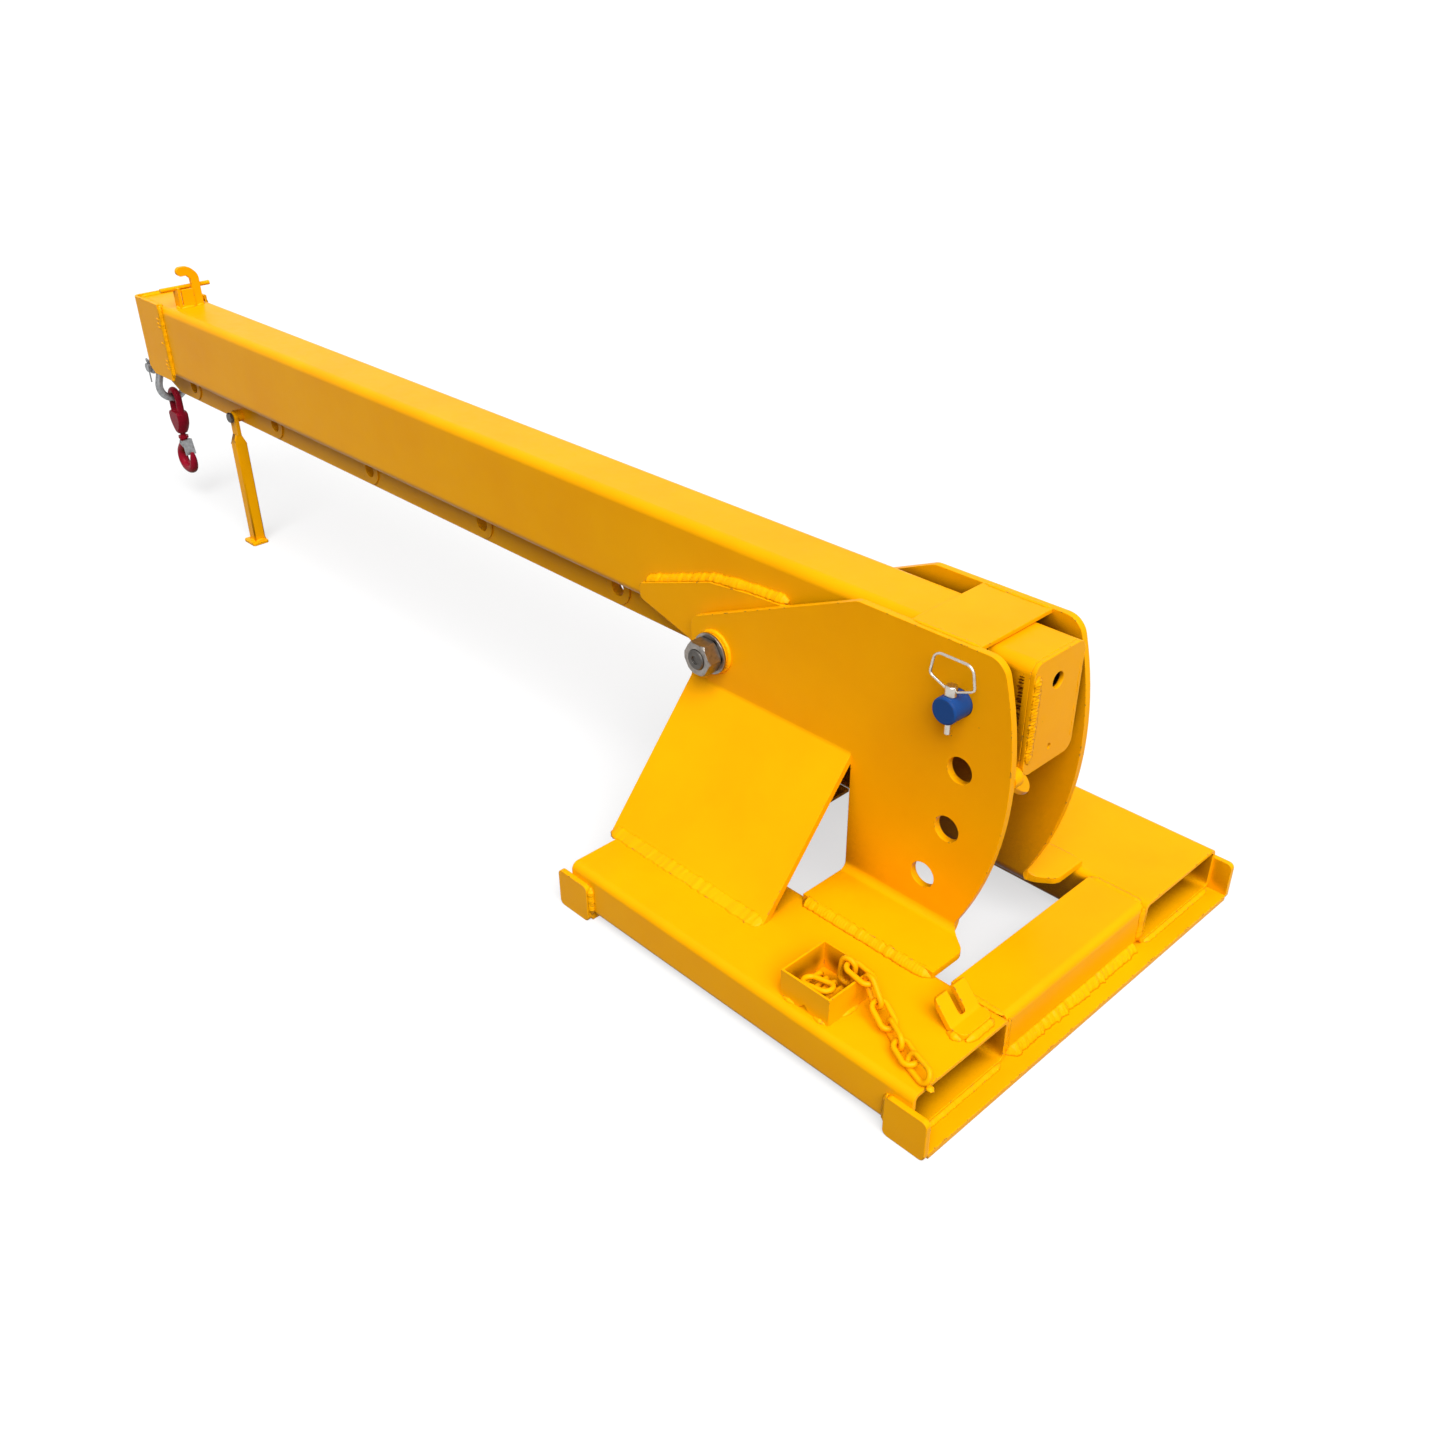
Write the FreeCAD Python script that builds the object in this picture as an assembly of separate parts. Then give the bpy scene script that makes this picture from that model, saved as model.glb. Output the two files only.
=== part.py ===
import FreeCAD, Part
import math
import os

# Forklift jib boom, millimetres. X runs from the tail to the hook, Y to the near side, Z up from the floor.
# X positions count from the pivot bolt; the finished piece is moved so that its box is centred on X zero.

V = FreeCAD.Vector
HALF_TURN = 180
QUARTER_TURN = 90
OVERRUN = 5            # how far a cut runs past the face it opens
RUNNING_GAP = 0.1      # radial gap of a pin that turns in its bore
SIDE_GAP = 0.5         # gap beside pieces that turn against each other
EDGE_REACH = 1         # how near a plane the middle of an edge lies that is picked there
SAME_POINT = 1e-6      # points nearer than this are one point

# Boom: rectangular hollow section
BOOM_WIDTH = 100
BOOM_BOTTOM = 326
BOOM_HEIGHT = 150
BOOM_WALL = 6
BOOM_CORNER = 15
TAIL_PLATE = 6
TAIL_INSET = 4          # how far the tail ends short of the side plates' rear arc
TAIL_HOLE_RADIUS = 10.5
TAIL_HOLE_RISE = 113
TAIL_DRAIN_RADIUS = 3.5
TAIL_DRAIN_RISE = 24
TAIL_LENGTH = 134       # the last length of tube, with the lock pin slot, from the tail to the splice
BOOM_TOP = BOOM_BOTTOM + BOOM_HEIGHT
BOOM_HALF = BOOM_WIDTH / 2

# Nose wrap: a strip bent round the end of the boom
NOSE_FRONT = 1815
NOSE_LENGTH = 115
NOSE_PLATE = 6
NOSE_RIM = 6
NOSE_BEND = 8
NOSE_CHAMFER_LENGTH = 32
NOSE_CHAMFER_RISE = 20
NOSE_BOTTOM = BOOM_BOTTOM - NOSE_RIM
NOSE_TOP = BOOM_TOP + NOSE_RIM

# Pivot
PIVOT_DROP = 4         # the pivot's middle lies this far under the boom's bottom
PIVOT_HEIGHT = BOOM_BOTTOM - PIVOT_DROP
PIVOT_RADIUS = 15
BUSH_RADIUS = 27
BOSS_RADIUS = 28
BOSS_HEIGHT = 8
WASHER_RADIUS = 30
WASHER_THICK = 4
PIVOT_HEX = 46
PIVOT_NUT_HEIGHT = 24
PIVOT_HEAD_HEIGHT = 19
BOLT_END = 3
BOLT_RECESS_RADIUS = 6
BOLT_RECESS_DEPTH = 2
BOLT_END_CHAMFER = 2
HEX_CHAMFER = 3
HEX_CHAMFER_SHARE = 0.25    # at most this much of a nut's height

# Cheek plates on the boom; the outline's heights count from the pivot
CHEEK_THICK = 12
CHEEK_LOBE = 42
CHEEK_OUTLINE = [
    (176, 38, 8), (29, 88, 0), (-46, 97, 0), (-113, 101, 10), (-113, 43, 20),
    (-30, -29, 0), (30, -36, 0), (75, -12, 0), (174, 15, 8),
]

# Side plates of the base
SIDE_CHEEK_GAP = 7       # between a side plate and the cheek plate in front of it
SIDE_THICK = 10
SIDE_FRONT = 48
SIDE_FRONT_RISE = 36
SIDE_FRONT_ROUND = 20
SIDE_TOP_START = -247
SIDE_TOP_ROUND = 25
SIDE_REAR_RADIUS = 488
SIDE_REAR_ROUND = 28
LEG_SPLIT = -250
FRONT_FOLD_DROP = 54
FRONT_LEG_FOOT = 238
FOLD_ROUND = 10
REAR_FLANGE_OUT = 162
REAR_FLANGE_INSET = 22
REAR_FLANGE_ROUND = 11
REAR_FLANGE_STEP = 18
REAR_FLANGE_TAPER = 25

# Lock pin and its holes
LOCK_EDGE = 71           # from the holes' circle to the side plates' rear arc
LOCK_FIRST_ANGLE = 12.2
LOCK_STEP_ANGLE = 12.5
LOCK_HOLES = 4
LOCK_RADIUS = 17.5
LOCK_HOLE_GAP = 0.5
LOCK_SLOT_GAP = 3
LOCK_NEAR_END = 110
LOCK_FAR_END = -90
LOCK_CHAMFER = 2

# Linch pin through the lock pin
LINCH_Y = 98
LINCH_RADIUS = 4
LINCH_TIP_DROP = 35
LINCH_TIP_CHAMFER = 1.5
LINCH_HEAD_RADIUS = 7.5
LINCH_HEAD_HEIGHT = 13
LINCH_HEAD_ROUND = 2
RING_WIRE = 1.75
RING_REACH = 32
RING_SHOULDER = 10
RING_HEIGHT = 40
RING_ROUND = 12
RING_FOOT = 5

# Top strap and guide stub
STRAP_INSET = 65
STRAP_LENGTH = 101
STRAP_THICK = 6
STRAP_GAP = 2
STUB_INSET = 11
STUB_RISE = 4
STUB_RADIUS = 13
STUB_BOOM_GAP = 1.5
STUB_ROUND = 4

# Fork pockets
POCKET_INNER_Y = 150
POCKET_WIDTH = 180
POCKET_HEIGHT = 68
POCKET_WALL = 6
POCKET_CORNER = 11
POCKET_REAR = -573
POCKET_LENGTH = 600
SOLE_THICK = 9
POCKET_BOTTOM = SOLE_THICK
POCKET_TOP = POCKET_BOTTOM + POCKET_HEIGHT
POCKET_OUTER_Y = POCKET_INNER_Y + POCKET_WIDTH
POCKET_FRONT = POCKET_REAR + POCKET_LENGTH

# Soles, end plates and cross beams
SOLE_LENGTH = 61
SOLE_LIP = 27
SOLE_REAR = POCKET_REAR - SOLE_LIP
SOLE_FRONT_LIP = 21
END_PLATE_THICK = 8
END_PLATE_HEIGHT = 60
END_PLATE_ROUND = 8
BEAM_WIDTH = 85
BEAM_WALL = 6
BEAM_INSET = 3

# Chain box on the near pocket
BOX_INSET = 140
BOX_SIZE = 78
BOX_INNER_Y = 237
BOX_HEIGHT = 40
BOX_WALL = 3
NOTCH_WIDTH = 16
NOTCH_HEIGHT = 9

# Chain
LINK_WIRE = 3.5
LINK_PITCH = 32
LINK_WIDTH = 26
# Links from the box to the anchor, counted from the chain box's rear inner bottom corner
CHAIN_STARTS = [
    (18, 19, 46.5), (-9.5, 20, 44.8), (-29.5, 25, 22.2), (-57, 36, 13), (-84, 50, 13), (-110, 60.5, 13),
]
CHAIN_ENDS = [
    (-10, 20, 42.5), (-29.5, 25, 21.3), (-57, 36, 13), (-84, 50, 13), (-110, 62, 12.5), (-136, 69, 12),
]
CHAIN_ROLL_ANGLES = [0, 90, 5, 85, 5, 62]
# Links heaped in the box: middles from the same corner, then each one's heading, dip and roll
HEAP_PLACES = [
    (13.5, 48, 12.8), (24, 49.5, 12.7), (35, 49, 13.1), (46.5, 50, 12.5), (58, 48, 13.3), (35, 59, 32.5),
    (24, 19, 35),
]
HEAP_ANGLES = [
    (84, 3, 66), (92, -5, 60), (87, 4, 68), (93, 4, 60), (88, -4, 72), (8, 6, 6), (8, 84, 90),
]

# Chain grab
GRAB_INSET = 13
GRAB_FOOT = 24
GRAB_REACH = 28
GRAB_TIP_HEIGHT = 109
GRAB_THICK = 8
GRAB_INNER_Y = 166
GRAB_WIDTH = 56
GRAB_BEND_ROUND = 6
GRAB_CORNER = 10
GRAB_SLOT = 12
GRAB_SLOT_Y = 188
GRAB_SLOT_ROUND = 4

# Hook rail
RAIL_THICK = 12
RAIL_REAR = 90
RAIL_HEIGHT = 61
RAIL_FIRST_EYE = 290
RAIL_EYE_STEP = 355
RAIL_EYES = 5
RAIL_EYE_DROP = 30
RAIL_EYE_RADIUS = 14
PAD_RADIUS = 28
PAD_THICK = 3
RAIL_REAR_SLANT = 20
RAIL_CORNER = 45
RAIL_BOTTOM = BOOM_BOTTOM - RAIL_HEIGHT
LUG_X = 1848
LUG_DROP = 9
LUG_RADIUS = 30
LUG_NECK = 1790

# Tip bracket
PANEL_REAR = 1654
PANEL_THICK = 6
PANEL_FAR_Y = -10
PANEL_NEAR_Y = 24
PANEL_HEIGHT = 36
FLANGE_THICK = 5.5
FLANGE_FRONT = 1678
PANEL_SLOT = 3
PANEL_SLOT_SILL = 6
HOOK_BAR_FAR_Y = -28
HOOK_BAR_WIDTH = 18
HOOK_BAR_THICK = 10
HOOK_BAR_REAR = 1656
HOOK_BAR_HEIGHT = 80
HOOK_BAR_SHOULDER = 18
HOOK_BAR_REACH = 36
HOOK_BAR_ROUND = 5
ROD_RADIUS = 4.5
ROD_RISE = 38
ROD_HALF = 54

# Support leg
LEG_X = 1507
LEG_BOLT_RISE = 15
LEG_SIZE = 25
LEG_WALL = 2.5
LEG_CORNER = 3
LEG_Y = 23
LEG_TONGUE_LENGTH = 38
LEG_BEVEL = 20
LEG_FOOT_THICK = 6
LEG_FOOT_LENGTH = 45
LEG_FOOT_WIDTH = 36
LEG_FOOT_Y = 27
LEG_FOOT_ROUND = 5
TONGUE_THICK = 8
TONGUE_RADIUS = 13
LEG_BOLT_RADIUS = 6
LEG_BOLT_HEX = 19
LEG_BOLT_HEAD = 8
LEG_NUT_HEIGHT = 10
SPACER_RADIUS = 12
LEG_BOLT_END = 3

# Bow shackle
SHACKLE_PIN_RADIUS = 9.5
SHACKLE_WIRE = 8
SHACKLE_JAW_HALF = 13.5
SHACKLE_INSIDE = 60
SHACKLE_BOW_HALF = 21.5
SHACKLE_EYE_RADIUS = 18
SHACKLE_NECK = 17
SHACKLE_SHOULDER = 6
SHACKLE_EASE = 20
SHACKLE_NUT_HEX = 28
SHACKLE_NUT_HEIGHT = 11
SHACKLE_HEAD_RADIUS = 15
SHACKLE_HEAD_HEIGHT = 8
SHACKLE_PIN_END = 7
COTTER_WIRE = 1.5
COTTER_DROP = 33
COTTER_RISE = 12
COTTER_EYE = 3.5
COTTER_INSET = 3.5

# Swivel hook
HOOK_HANG = 239.5       # the hook's heights below count from this far under the bow's crown
BAIL_WIRE = 7.5
BAIL_HALF = 17
BAIL_REST_GAP = 0.4
BAIL_SINK = 10
SWIVEL_TOP = 208
SWIVEL_HALF_THICK = 13
SWIVEL_PROFILE = [(0, 158), (11, 158), (13, 161), (22, 180), (24.5, 190), (24.5, 203), (20, 208), (0, 208)]
SHANK_RADIUS = 6
SHANK_HEAD_RADIUS = 9
SHANK_HEAD_HEIGHT = 4
COLLAR_RADIUS = 11
COLLAR_TOP = 150
COLLAR_HEIGHT = 5
HOOK_SECTIONS = [
    (0, 148, -90, 9), (2, 139, -68, 9), (13, 124, -42, 9.3), (26, 108, -70, 10), (27.5, 94, -97, 10.8),
    (18, 77, -140, 11), (0, 72, 180, 11), (-18, 77, 140, 10), (-27.5, 94, 97, 8.2), (-29, 108, 92, 6),
    (-29.3, 116, 90, 3.5),
]
LATCH_X = -4
LATCH_HEIGHT = 137
LATCH_PIN_RADIUS = 2
LATCH_PIN_HALF = 13
LATCH_PLATE = 2
LATCH_INNER_HALF = 9.8
LATCH_OUTLINE = [(-12.5, 143), (-14.8, 142), (-23.2, 110), (-21, 109)]
LATCH_EAR = [(-14.8, 142, 2), (1, 141, 3), (1, 133, 3), (-15, 127, 0)]

EYE_HEIGHT = BOOM_BOTTOM - RAIL_EYE_DROP
SIDE_TOP = BOOM_TOP + STRAP_GAP + STRAP_THICK
SIDE_GAP_HALF = BOOM_HALF + CHEEK_THICK + SIDE_CHEEK_GAP
BOOM_TAIL = SIDE_REAR_RADIUS - TAIL_INSET
LOCK_CIRCLE = SIDE_REAR_RADIUS - LOCK_EDGE
STRAP_REAR = -SIDE_REAR_RADIUS + STRAP_INSET
STRAP_FRONT = STRAP_REAR + STRAP_LENGTH
STUB_X = -SIDE_REAR_RADIUS + STUB_INSET
REAR_FLANGE_END = -SIDE_REAR_RADIUS + REAR_FLANGE_INSET
SOLE_FRONT_END = POCKET_FRONT + SOLE_FRONT_LIP
BOX_REAR = POCKET_REAR + BOX_INSET
GRAB_REAR = POCKET_REAR + GRAB_INSET
GRAB_BEND = GRAB_REAR + GRAB_FOOT
GRAB_TIP = GRAB_BEND + GRAB_REACH
LUG_HEIGHT = BOOM_BOTTOM - LUG_DROP
LEG_HEIGHT = RAIL_BOTTOM + LEG_BOLT_RISE
LEG_TOP = LEG_HEIGHT - LEG_TONGUE_LENGTH - LEG_BEVEL


def at(axis, u, v, w):
    """A point from two coordinates in the plane across an axis and one along it."""
    if axis == "x":
        return V(w, u, v)
    if axis == "y":
        return V(u, w, v)
    return V(u, v, w)


def wire(points, axis, w):
    """A closed outline through (u, v) or (u, v, radius) points, with arcs at the rounded corners."""
    corners = [tuple(p) + (0,) * (3 - len(p)) for p in points]
    spans = []
    for i, (u, v, radius) in enumerate(corners):
        here = V(u, v, 0)
        before = V(corners[i - 1][0], corners[i - 1][1], 0) - here
        after = V(corners[(i + 1) % len(corners)][0], corners[(i + 1) % len(corners)][1], 0) - here
        before.normalize()
        after.normalize()
        if radius == 0:
            spans.append((here, here, here))
            continue
        half = before.getAngle(after) / 2
        reach = radius / math.tan(half)
        bisector = before + after
        bisector.normalize()
        peak = here + bisector * (radius / math.sin(half) - radius)
        spans.append((here + before * reach, peak, here + after * reach))
    edges = []
    for i, (start, middle, end) in enumerate(spans):
        last = spans[i - 1][2]
        if last.distanceToPoint(start) > SAME_POINT:
            edges.append(Part.makeLine(at(axis, last.x, last.y, w), at(axis, start.x, start.y, w)))
        if start.distanceToPoint(end) > SAME_POINT:
            first, peak, second = [at(axis, p.x, p.y, w) for p in (start, middle, end)]
            edges.append(Part.Arc(first, peak, second).toShape())
    return Part.Wire(edges)


def slab(points, axis, low, high):
    """A flat piece with an outline, between two planes across an axis."""
    return Part.Face(wire(points, axis, low)).extrude(at(axis, 0, 0, high - low))


def box(x0, x1, y0, y1, z0, z1):
    return Part.makeBox(x1 - x0, y1 - y0, z1 - z0, V(x0, y0, z0))


def rod(axis, u, v, radius, low, high):
    return Part.makeCylinder(radius, high - low, at(axis, u, v, low), at(axis, 0, 0, 1))


def hexagon(axis, u, v, across, low, high):
    """A hexagonal head or nut with its outer corners turned off at both ends."""
    corner = across / math.sqrt(3)
    points = []
    for k in range(6):
        angle = math.pi * k / 3
        points.append((u + corner * math.cos(angle), v + corner * math.sin(angle)))
    prism = slab(points, axis, low, high)
    blank = rod(axis, u, v, corner, low, high)
    rims = [e for e in blank.Edges if e.isClosed() and len(e.Vertexes) == 1]
    return prism.common(blank.makeChamfer(min(HEX_CHAMFER, (high - low) * HEX_CHAMFER_SHARE), rims))


def rectangle(u0, u1, v0, v1, radius):
    return [(u0, v0, radius), (u1, v0, radius), (u1, v1, radius), (u0, v1, radius)]


def tube(axis, u0, u1, v0, v1, wall, corner, low, high):
    """A rectangular hollow section."""
    outside = slab(rectangle(u0, u1, v0, v1, corner), axis, low, high)
    core = rectangle(u0 + wall, u1 - wall, v0 + wall, v1 - wall, max(corner - wall, 0))
    return outside.cut(slab(core, axis, low - OVERRUN, high + OVERRUN))


def folded(path, thick, inside):
    """The outline of a bent sheet: the path is one face, the other lies to the left of it."""
    runs = []
    for (u0, v0), (u1, v1) in zip(path, path[1:]):
        run = V(u1 - u0, v1 - v0, 0)
        run.normalize()
        runs.append(run)
    near = []
    far = []
    for i, (u, v) in enumerate(path):
        before = runs[max(i - 1, 0)]
        after = runs[min(i, len(runs) - 1)]
        left = V(-before.y - after.y, before.x + after.x, 0) * (1 / (1 + before.dot(after)))
        turn = before.cross(after).z
        bent = abs(turn) > SAME_POINT
        near_round = inside + thick if turn > 0 else inside
        far_round = inside if turn > 0 else inside + thick
        near.append((u, v, near_round if bent else 0))
        far.append((u + left.x * thick, v + left.y * thick, far_round if bent else 0))
    return near + far[::-1]


def mirrored(shape):
    return shape.mirror(V(0, 0, 0), V(0, 1, 0))


def joined(*solids):
    whole = solids[0]
    for solid in solids[1:]:
        whole = whole.fuse(solid)
    return whole.removeSplitter()


def rounded(shape, radius, pick):
    """Rounds the edges whose middle passes a test."""
    edges = [e for e in shape.Edges if pick(e.CenterOfMass)]
    return shape.makeFillet(radius, edges)


kept = {}


def keep(name, *solids):
    """Sets one piece, or several alike, aside under its name."""
    kept[name] = solids[0] if len(solids) == 1 else Part.makeCompound(list(solids))


# Fork pockets: two closed rectangular tubes that the fork blades slide into.
near_pocket = tube("x", POCKET_INNER_Y, POCKET_OUTER_Y, POCKET_BOTTOM, POCKET_TOP, POCKET_WALL, POCKET_CORNER,
                   POCKET_REAR, POCKET_FRONT)
keep("near_fork_pocket", near_pocket)
keep("far_fork_pocket", mirrored(near_pocket))

# Sole plates lie across under both pockets, with an upright plate lapped over the pocket at each end.
rear_sole = box(SOLE_REAR, SOLE_REAR + SOLE_LENGTH, -POCKET_OUTER_Y, POCKET_OUTER_Y, 0, SOLE_THICK)
front_sole = box(SOLE_FRONT_END - SOLE_LENGTH, SOLE_FRONT_END, -POCKET_OUTER_Y, POCKET_OUTER_Y, 0, SOLE_THICK)
keep("rear_sole_plate", rear_sole)
keep("front_sole_plate", front_sole)
end_plates = []
for start in (SOLE_REAR, SOLE_FRONT_END - SOLE_LENGTH):
    outline = rectangle(start, start + SOLE_LENGTH, 0, END_PLATE_HEIGHT, END_PLATE_ROUND)
    plate = slab(outline, "y", POCKET_OUTER_Y, POCKET_OUTER_Y + END_PLATE_THICK)
    end_plates += [plate, mirrored(plate)]
keep("sole_end_plates", *end_plates)

# Cross beams: bent channels between the pockets, open toward each other.
beam_low = POCKET_BOTTOM
beam_rear = POCKET_REAR + BEAM_INSET
beam_front = POCKET_FRONT - BEAM_INSET
rear_path = [(beam_rear + BEAM_WIDTH, beam_low), (beam_rear, beam_low), (beam_rear, POCKET_TOP),
             (beam_rear + BEAM_WIDTH, POCKET_TOP)]
front_path = [(beam_front - BEAM_WIDTH, beam_low), (beam_front, beam_low), (beam_front, POCKET_TOP),
              (beam_front - BEAM_WIDTH, POCKET_TOP)]
bend = POCKET_CORNER - BEAM_WALL
keep("rear_cross_beam", slab(folded(rear_path[::-1], BEAM_WALL, bend), "y", -POCKET_INNER_Y, POCKET_INNER_Y))
keep("front_cross_beam", slab(folded(front_path, BEAM_WALL, bend), "y", -POCKET_INNER_Y, POCKET_INNER_Y))

# Side plates: one folded sheet each. The front leg leans out to the pocket, the rear leg stands straight down
# and turns out in a foot flange. The rear edge is an arc round the pivot.
side_outer = SIDE_GAP_HALF + SIDE_THICK
front_fold = PIVOT_HEIGHT - FRONT_FOLD_DROP
fold_top = front_fold + BOSS_RADIUS
flange_top = POCKET_TOP + SIDE_THICK
foot_bend = flange_top + REAR_FLANGE_ROUND
flat = slab([
    (SIDE_FRONT, fold_top), (SIDE_FRONT, PIVOT_HEIGHT + SIDE_FRONT_RISE, SIDE_FRONT_ROUND),
    (SIDE_TOP_START, SIDE_TOP, SIDE_TOP_ROUND),
    (-SIDE_REAR_RADIUS - OVERRUN, SIDE_TOP), (-SIDE_REAR_RADIUS - OVERRUN, foot_bend), (LEG_SPLIT, foot_bend),
    (LEG_SPLIT, fold_top),
], "y", SIDE_GAP_HALF, side_outer)
flat = flat.common(rod("y", 0, PIVOT_HEIGHT, SIDE_REAR_RADIUS, SIDE_GAP_HALF, side_outer))
flat = rounded(flat, SIDE_REAR_ROUND, lambda c: c.x < STRAP_REAR and abs(c.z - SIDE_TOP) < OVERRUN
               and abs(c.y - SIDE_GAP_HALF - SIDE_THICK / 2) < EDGE_REACH)
lean = math.atan2(FRONT_LEG_FOOT - side_outer, front_fold - POCKET_TOP)
leg_path = [(side_outer, fold_top), (side_outer, front_fold),
            (FRONT_LEG_FOOT + OVERRUN * math.tan(lean), POCKET_TOP - OVERRUN)]
front_leg = slab(folded(leg_path[::-1], SIDE_THICK, FOLD_ROUND), "x", LEG_SPLIT, SIDE_FRONT)
front_leg = front_leg.common(box(LEG_SPLIT, SIDE_FRONT, 0, POCKET_OUTER_Y, POCKET_TOP, fold_top))
foot_path = [(side_outer, foot_bend), (side_outer, flange_top), (REAR_FLANGE_OUT, flange_top)]
rear_leg = slab(folded(foot_path[::-1], SIDE_THICK, REAR_FLANGE_ROUND), "x", REAR_FLANGE_END, LEG_SPLIT)
foot_start = -math.sqrt(SIDE_REAR_RADIUS ** 2 - (PIVOT_HEIGHT - foot_bend) ** 2)
foot_plan = slab([
    (LEG_SPLIT, 0), (LEG_SPLIT, REAR_FLANGE_OUT), (REAR_FLANGE_END, REAR_FLANGE_OUT),
    (REAR_FLANGE_END, side_outer + REAR_FLANGE_TAPER, REAR_FLANGE_STEP), (foot_start, side_outer),
    (foot_start, 0),
], "z", POCKET_TOP, foot_bend)
rear_leg = rear_leg.common(foot_plan)
near_side = joined(flat, front_leg, rear_leg)
near_side = near_side.cut(rod("y", 0, PIVOT_HEIGHT, PIVOT_RADIUS + RUNNING_GAP, 0, POCKET_INNER_Y))


def lock_point(step):
    """Centre of a lock pin hole, counted down from the top one."""
    angle = math.radians(LOCK_FIRST_ANGLE - LOCK_STEP_ANGLE * step)
    return -LOCK_CIRCLE * math.cos(angle), PIVOT_HEIGHT + LOCK_CIRCLE * math.sin(angle)


for step in range(LOCK_HOLES):
    hole_x, hole_z = lock_point(step)
    near_side = near_side.cut(rod("y", hole_x, hole_z, LOCK_RADIUS + LOCK_HOLE_GAP, 0, POCKET_INNER_Y))
keep("near_side_plate", near_side)
keep("far_side_plate", mirrored(near_side))

# Top strap between the side plates: the boom tail stops under it.
keep("top_strap", box(STRAP_REAR, STRAP_FRONT, -SIDE_GAP_HALF, SIDE_GAP_HALF, BOOM_TOP + STRAP_GAP, SIDE_TOP))

# Guide stub: a short round bar welded inside the near plate that keeps the tail central.
stub = rod("y", STUB_X, BOOM_BOTTOM + STUB_RISE, STUB_RADIUS, BOOM_HALF + STUB_BOOM_GAP, SIDE_GAP_HALF)
keep("guide_stub", rounded(stub, STUB_ROUND, lambda c: abs(c.y - BOOM_HALF - STUB_BOOM_GAP) < EDGE_REACH))

# Pivot bolt with boss rings, washers and nut.
bore = PIVOT_RADIUS + RUNNING_GAP
boss_end = side_outer + BOSS_HEIGHT
washer_end = boss_end + WASHER_THICK
ring = rod("y", 0, PIVOT_HEIGHT, BOSS_RADIUS, side_outer, boss_end)
ring = ring.cut(rod("y", 0, PIVOT_HEIGHT, bore, 0, washer_end))
keep("pivot_boss_rings", ring, mirrored(ring))
washer = rod("y", 0, PIVOT_HEIGHT, WASHER_RADIUS, boss_end, washer_end)
washer = washer.cut(rod("y", 0, PIVOT_HEIGHT, bore, 0, washer_end + OVERRUN))
keep("pivot_washers", washer, mirrored(washer))
nut_end = washer_end + PIVOT_NUT_HEIGHT
nut = hexagon("y", 0, PIVOT_HEIGHT, PIVOT_HEX, washer_end, nut_end)
keep("pivot_nut", nut.cut(rod("y", 0, PIVOT_HEIGHT, PIVOT_RADIUS, washer_end - OVERRUN, nut_end + OVERRUN)))
bolt_tip = nut_end + BOLT_END
shaft = rod("y", 0, PIVOT_HEIGHT, PIVOT_RADIUS, -washer_end, bolt_tip)
tip_rim = [e for e in shaft.Edges if abs(e.CenterOfMass.y - bolt_tip) < EDGE_REACH]
shaft = shaft.makeChamfer(BOLT_END_CHAMFER, tip_rim)
head = hexagon("y", 0, PIVOT_HEIGHT, PIVOT_HEX, -washer_end - PIVOT_HEAD_HEIGHT, -washer_end)
recess = rod("y", 0, PIVOT_HEIGHT, BOLT_RECESS_RADIUS, bolt_tip - BOLT_RECESS_DEPTH, bolt_tip + OVERRUN)
keep("pivot_bolt", joined(shaft, head).cut(recess))

# Boom tube. Its last length is slotted for the lock pin: a round seat that opens upward, each side clear of
# the pin's path as the boom tilts. The two lengths are spliced under the strap.
boom = tube("x", -BOOM_HALF, BOOM_HALF, BOOM_BOTTOM, BOOM_TOP, BOOM_WALL, BOOM_CORNER,
            -BOOM_TAIL + TAIL_PLATE, NOSE_FRONT - NOSE_PLATE)
boom = boom.cut(rod("y", 0, PIVOT_HEIGHT, BUSH_RADIUS, -BOOM_WIDTH, BOOM_WIDTH))
slot_half = LOCK_RADIUS + LOCK_SLOT_GAP
seat_x, seat_z = lock_point(0)
seat_angle = math.radians(LOCK_FIRST_ANGLE)
slot_top = BOOM_TOP + OVERRUN
inner = LOCK_CIRCLE - slot_half
outer = LOCK_CIRCLE + slot_half
front_low = (-inner * math.cos(seat_angle), PIVOT_HEIGHT + inner * math.sin(seat_angle))
front_high = (-math.sqrt(inner ** 2 - (slot_top - PIVOT_HEIGHT) ** 2), slot_top)
rear_low = (-outer * math.cos(seat_angle), PIVOT_HEIGHT + outer * math.sin(seat_angle))
rear_high = (rear_low[0] + (slot_top - rear_low[1]) * math.tan(seat_angle), slot_top)
slot = slab([front_low, front_high, rear_high, rear_low], "y", -BOOM_WIDTH, BOOM_WIDTH)
boom = boom.cut(slot).cut(rod("y", seat_x, seat_z, slot_half, -BOOM_WIDTH, BOOM_WIDTH))

# Hook rail: a flat bar on edge under the boom that ends in the shackle lug in front of the nose.
rail_half = RAIL_THICK / 2
chamfer_x = NOSE_FRONT - NOSE_CHAMFER_LENGTH
chamfer_z = NOSE_BOTTOM + NOSE_CHAMFER_RISE
rail = slab([
    (RAIL_REAR, BOOM_BOTTOM), (RAIL_REAR + RAIL_REAR_SLANT, RAIL_BOTTOM),
    (LUG_NECK, RAIL_BOTTOM, RAIL_CORNER),
    (LUG_X, LUG_HEIGHT - LUG_RADIUS), (LUG_X, LUG_HEIGHT + LUG_RADIUS),
    (NOSE_FRONT, chamfer_z - NOSE_PLATE),
    (chamfer_x + NOSE_PLATE, BOOM_BOTTOM),
], "y", -rail_half, rail_half)
rail = joined(rail, rod("y", LUG_X, LUG_HEIGHT, LUG_RADIUS, -rail_half, rail_half))
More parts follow.
